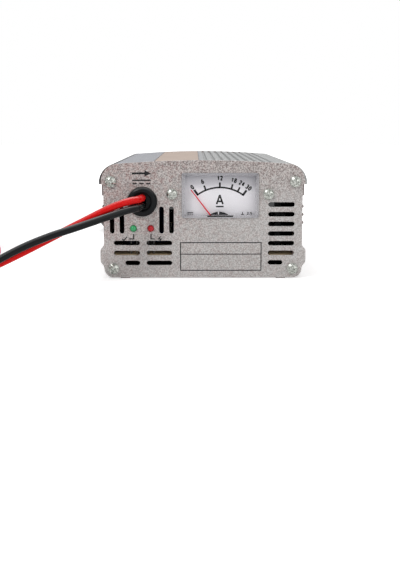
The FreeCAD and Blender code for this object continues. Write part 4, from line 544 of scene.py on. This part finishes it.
for node, slot in slots.items():
    piece = bpy.data.objects[node]
    for place in piece.material_slots:
        place.material = finishes[slot]
for colour, lead in leads.items():
    lead.data.materials.append(finishes["lead_" + colour])
cord.data.materials.append(finishes["cord_black"])

# Clamp springs: the wire of the CAD springs split into one piece for each clamp

PIVOTS = {"red": (-135.5, FRONT + 145.0, 1.0), "black": (-133.0, FRONT + 59.0, -1.0)}
SPRING_SPAN = 30.0
wires = frame["nodes"]["clamp_springs"].data
for colour, (x, y, fixed_side) in PIVOTS.items():
    own = [v.index for v in wires.vertices if abs(v.co.y / MM - y) < SPRING_SPAN]
    places = {old: index for index, old in enumerate(own)}
    faces = [[places[i] for i in p.vertices] for p in wires.polygons if p.vertices[0] in places]
    spring = mesh_piece(colour + "_clamp_spring", [wires.vertices[i].co for i in own], faces,
                        True)
    spring.data.materials.append(finishes["spring_steel"])
    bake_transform(spring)
    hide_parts("clamp_springs")


# Print: thin plates that stand a hair proud of the face they are printed on

def strip(points, width, closed=False):
    """Corners of a flat band along points in a plane, with mitred corners."""
    count = len(points)
    sides = ([], [])
    for index, here in enumerate(points):
        before = points[index - 1] if index or closed else None
        after = points[(index + 1) % count] if index < count - 1 or closed else None
        ways = [(Vector(b) - Vector(a)).normalized()
                for a, b in ((before, here), (here, after)) if a is not None and b is not None]
        along = sum(ways, Vector((0, 0))).normalized()
        across = Vector((-along.y, along.x))
        reach = width / 2.0 / max(across.dot(Vector((-ways[0].y, ways[0].x))), 0.3)
        sides[0].append(Vector(here) + across * reach)
        sides[1].append(Vector(here) - across * reach)
    last = count if closed else count - 1
    return [(sides[0][i], sides[0][(i + 1) % count], sides[1][(i + 1) % count], sides[1][i])
            for i in range(last)]


def bar(x, z, width, height):
    return [(Vector((x - width / 2, z - height / 2)), Vector((x + width / 2, z - height / 2)),
             Vector((x + width / 2, z + height / 2)), Vector((x - width / 2, z + height / 2)))]


def print_on(name, patches, face, outward, paint, lift=0.04):
    """Join flat patches of X and Z corners to one thin piece on the face at a given Y."""
    vertices = []
    faces = []
    for patch in patches:
        first = len(vertices)
        count = len(patch)
        for depth in (face, face + outward * lift):
            vertices += [mm((p[0], depth, p[1])) for p in patch]
        faces.append(tuple(range(first + count, first + 2 * count)))
        faces.append(tuple(range(first + count - 1, first - 1, -1)))
        for index in range(count):
            other = (index + 1) % count
            faces.append((first + index, first + other,
                          first + count + other, first + count + index))
    piece = mesh_piece(name, vertices, faces)
    piece.data.materials.append(paint)
    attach(piece, "charger")


def ring(x, z, wide, high):
    turns = [2 * math.pi * k / 16 for k in range(17)]
    return [(x + wide / 2 * math.cos(t), z + high / 2 * math.sin(t)) for t in turns]


ink = matt("black_ink", (0.012, 0.012, 0.013), 0.5)
label_white = matt("label_paper", (0.9, 0.89, 0.9), 0.5)

# Strokes of the printed signs in a box of one by one round the origin
GLYPHS = {
    "0": [ring(0, 0, 1, 1)],
    "1": [[(0.15, -0.5), (0.15, 0.5)], [(0.15, 0.45), (-0.3, 0.2)]],
    "2": [[(-0.45, 0.28), (-0.3, 0.44), (0.05, 0.5), (0.38, 0.4), (0.42, 0.18), (0.2, -0.08),
           (-0.45, -0.45)], [(-0.5, -0.5), (0.5, -0.5)]],
    "3": [[(-0.45, 0.36), (-0.1, 0.5), (0.35, 0.4), (0.42, 0.2), (0.2, 0.05), (-0.1, 0.03)],
          [(-0.1, 0.03), (0.3, -0.02), (0.5, -0.22), (0.35, -0.44), (0, -0.5), (-0.3, -0.46),
           (-0.5, -0.32)]],
    "4": [[(0.2, -0.5), (0.2, 0.5)], [(0.2, 0.5), (-0.5, -0.2)], [(-0.55, -0.22), (0.55, -0.22)]],
    "5": [[(0.42, 0.48), (-0.35, 0.48), (-0.42, 0.05), (0.1, 0.12), (0.48, -0.1), (0.4, -0.4),
           (0, -0.5), (-0.45, -0.38)]],
    "6": [ring(0, -0.2, 1, 0.6), [(-0.5, -0.15), (-0.35, 0.25), (0.0, 0.48), (0.4, 0.45)]],
    "8": [ring(0, 0.26, 0.8, 0.48), ring(0, -0.24, 1, 0.52)],
    "A": [[(-0.5, -0.5), (0, 0.5)], [(0.5, -0.5), (0, 0.5)], [(-0.3, -0.2), (0.3, -0.2)]],
}


def signs(text, x, z, wide, high, step, stroke, degrees=0.0):
    """Bands for a row of signs centred on a point and turned clockwise about it."""
    turn = math.radians(-degrees)
    patches = []
    for place, sign in enumerate(text):
        shift = (place - (len(text) - 1) / 2.0) * step
        for line in GLYPHS[sign]:
            points = []
            for u, v in line:
                across = shift + u * wide
                up = v * high
                points.append((x + across * math.cos(turn) - up * math.sin(turn),
                               z + across * math.sin(turn) + up * math.cos(turn)))
            patches += strip(points, stroke)
    return patches


def direct_current(x, z, width, drop, pitch, dash, stroke):
    """Line over three dashes."""
    patches = bar(x, z, width, stroke)
    for k in (-1, 0, 1):
        patches += bar(x + pitch * k, z - drop, dash, stroke)
    return patches


def arrow(start, neck, tip, z, half, stroke):
    """Arrow along X; its shaft runs a little into its head."""
    patches = strip([(start, z), (neck + ARROW_LAP, z)], stroke)
    patches.append([Vector((neck, z + half)), Vector((tip, z)), Vector((neck, z - half))])
    return patches


ARROW_LAP = 0.3
DIAL = -80.6
ARC_CENTRE = (7.87, 23.78)
ARC_RADIUS = 17.7
ARC_START = -36.1
ARC_SWEEP = 73.0
ARC_STEPS = 40
SCALE = ((0, -35.6), (6, -21.7), (12, -0.4), (18, 16.7), (24, 26.9), (30, 36.4))
NUMBERS_OUT = 4.25
DIAL_SIGN_Z = 29.65


def on_arc(degrees, radius):
    turn = math.radians(degrees)
    return (ARC_CENTRE[0] + radius * math.sin(turn), ARC_CENTRE[1] + radius * math.cos(turn))


dial_patches = strip([on_arc(ARC_START + ARC_SWEEP * k / ARC_STEPS, ARC_RADIUS)
                      for k in range(ARC_STEPS + 1)], 0.75)
for value, degrees in SCALE:
    wide, reach = (1.0, 2.7) if value in (0, 30) else (0.8, 2.3)
    dial_patches += strip([on_arc(degrees, ARC_RADIUS - 0.3), on_arc(degrees, ARC_RADIUS + reach)],
                          wide)
    x, z = on_arc(degrees, ARC_RADIUS + NUMBERS_OUT)
    dial_patches += signs(str(value), x, z, 0.8, 1.75, 1.45, 0.54, degrees)
dial_patches += signs("A", 7.7, 35.95, 2.9, 4.2, 0.0, 0.75)
dial_patches += bar(7.7, 32.75, 3.5, 0.65)
dial_patches += direct_current(-5.8, 30.0, 2.6, 0.7, 0.95, 0.65, 0.32)
dial_patches += bar(18.2, DIAL_SIGN_Z, 0.35, 1.2) + bar(18.2, 29.1, 1.4, 0.32)
dial_patches += signs("2", 20.6, DIAL_SIGN_Z, 0.6, 0.95, 0.0, 0.28) + bar(21.3, 29.15, 0.3, 0.3)
dial_patches += signs("5", 22.1, DIAL_SIGN_Z, 0.6, 0.95, 0.0, 0.28)
print_on("dial_marks", dial_patches, DIAL, -1, ink)
print_on("lens_line", bar(7.8, 28.75, 11.8, 0.65), FRONT - 0.8, -1, ink)
print_on("hub_gap", bar(7.05, 29.95, 0.45, 1.2), DIAL - 3.0, -1, label_white)


def ruled_frame(x0, x1, z0, z1, rule, width, thin):
    """Frame with one line across it."""
    frame_line = strip([(x0, z0), (x1, z0), (x1, z1), (x0, z1)], width, True)
    return frame_line + strip([(x0, rule), (x1, rule)], thin)


# Front panel: outlet arrow and direct-current sign, lamp leaders and signs, ruled frame
front_patches = ruled_frame(-10.3, 26.6, 3.8, 16.6, 11.3, 0.42, 0.4)
front_patches += arrow(-32.2, -26.5, -23.6, 48.1, 1.4, 0.9)
front_patches += direct_current(-27.9, 45.0, 8.4, 1.5, 3.1, 2.0, 0.6)
front_patches += strip([(-31.7, 20.6), (-31.7, 18.3), (-33.9, 18.3)], 0.5)
front_patches += strip([(-23.8, 20.6), (-23.8, 18.3), (-22.1, 18.3)], 0.5)
front_patches += strip([(-37.0, 18.4), (-36.2, 17.6), (-34.8, 19.2)], 0.5)
front_patches += strip([(-19.3, 19.5), (-20.4, 18.3), (-19.0, 18.3), (-20.1, 17.2)], 0.45)
print_on("front_marks", front_patches, FRONT, -1, ink)

# Rear panel: inlet arrow, alternating-current sign, ruled frame and a round blank label
SINE = (-31.5, 24.9)
SINE_WIDTH = 7.0
SINE_HALF = 1.0
SINE_STEPS = 16
LABEL_MIDDLE = (-0.3, 27.0)
LABEL_RADIUS = 6.5
LABEL_STEPS = 48
rear_patches = ruled_frame(21.0, 42.9, 16.4, 36.0, 26.3, 0.4, 0.38)
rear_patches += arrow(-35.8, -30.3, -27.3, 29.0, 1.5, 0.85)
rear_patches += strip([(SINE[0] + SINE_WIDTH * (k / SINE_STEPS - 0.5),
                        SINE[1] + SINE_HALF * math.sin(2 * math.pi * k / SINE_STEPS))
                       for k in range(SINE_STEPS + 1)], 0.65)
print_on("rear_marks", rear_patches, BACK, 1, ink)
label_turns = [2 * math.pi * k / LABEL_STEPS for k in range(LABEL_STEPS)]
disc = [Vector((LABEL_MIDDLE[0] + LABEL_RADIUS * math.cos(turn),
                LABEL_MIDDLE[1] + LABEL_RADIUS * math.sin(turn))) for turn in label_turns]
print_on("round_label", [disc], BACK, 1, label_white, 0.1)

# Floor, surroundings and light

FLOOR_REACH = 3
SKY_LIGHT = 0.38
SEEN_SKY = 1.0


def seen_rays(tree):
    """1 for rays that show the surroundings: to the camera, mirrored or through glass."""
    path = tree.node("ShaderNodeLightPath")
    mirrored = tree.math("MAXIMUM", path.outputs["Is Glossy Ray"],
                         path.outputs["Is Transmission Ray"])
    return tree.math("MAXIMUM", path.outputs["Is Camera Ray"], mirrored)


def table_white():
    """White table that keeps the shadow and goes to plain white away from the object."""
    made = material("table_white", (0.9, 0.9, 0.9), rough=0.9, specular=0.0)
    tree = Tree(made)
    spread = tree.node("ShaderNodeVectorMath", operation="LENGTH")
    tree.link(tree.place, spread.inputs[0])
    far = tree.ramp(spread.outputs["Value"], 0.15, 0.75)
    glow = tree.math("ADD", 0.5, tree.math("MULTIPLY", far, 0.5))
    tree.set("Emission Color", (1.0, 1.0, 1.0))
    tree.set("Emission Strength", tree.math("MULTIPLY", glow, seen_rays(tree)))
    return made


corners = [(x * FLOOR_REACH, y * FLOOR_REACH, 0) for x, y in ((-1, -1), (1, -1), (1, 1), (-1, 1))]
floor = mesh_piece("floor", corners, [(0, 1, 2, 3)])
floor.data.materials.append(table_white())

world = bpy.data.worlds.new("studio")
bpy.context.scene.world = world
world.use_nodes = True
surround = Tree(world, "Background")
shown = surround.math("MULTIPLY", seen_rays(surround), SEEN_SKY - SKY_LIGHT)
surround.set("Color", (1.0, 1.0, 1.0))
surround.set("Strength", surround.math("ADD", shown, SKY_LIGHT))


def area_light(name, place, aim, size, watts):
    data = bpy.data.lights.new(name, "AREA")
    data.size = size
    data.energy = watts
    lamp = bpy.data.objects.new(name, data)
    bpy.context.scene.collection.objects.link(lamp)
    lamp.location = place
    lamp.rotation_euler = (Vector(aim) - Vector(place)).to_track_quat("-Z", "Y").to_euler()


area_light("key", (-0.55, -0.75, 0.85), (0, -0.05, 0.02), 0.32, 4.6)
area_light("fill", (0.75, -0.85, 0.45), (0, -0.05, 0.02), 0.7, 2.4)
area_light("top", (0.1, 0.35, 1.0), (0, 0.0, 0.0), 0.8, 4.0)
bpy.context.scene.view_settings.view_transform = "Standard"

bpy.context.view_layer.update()
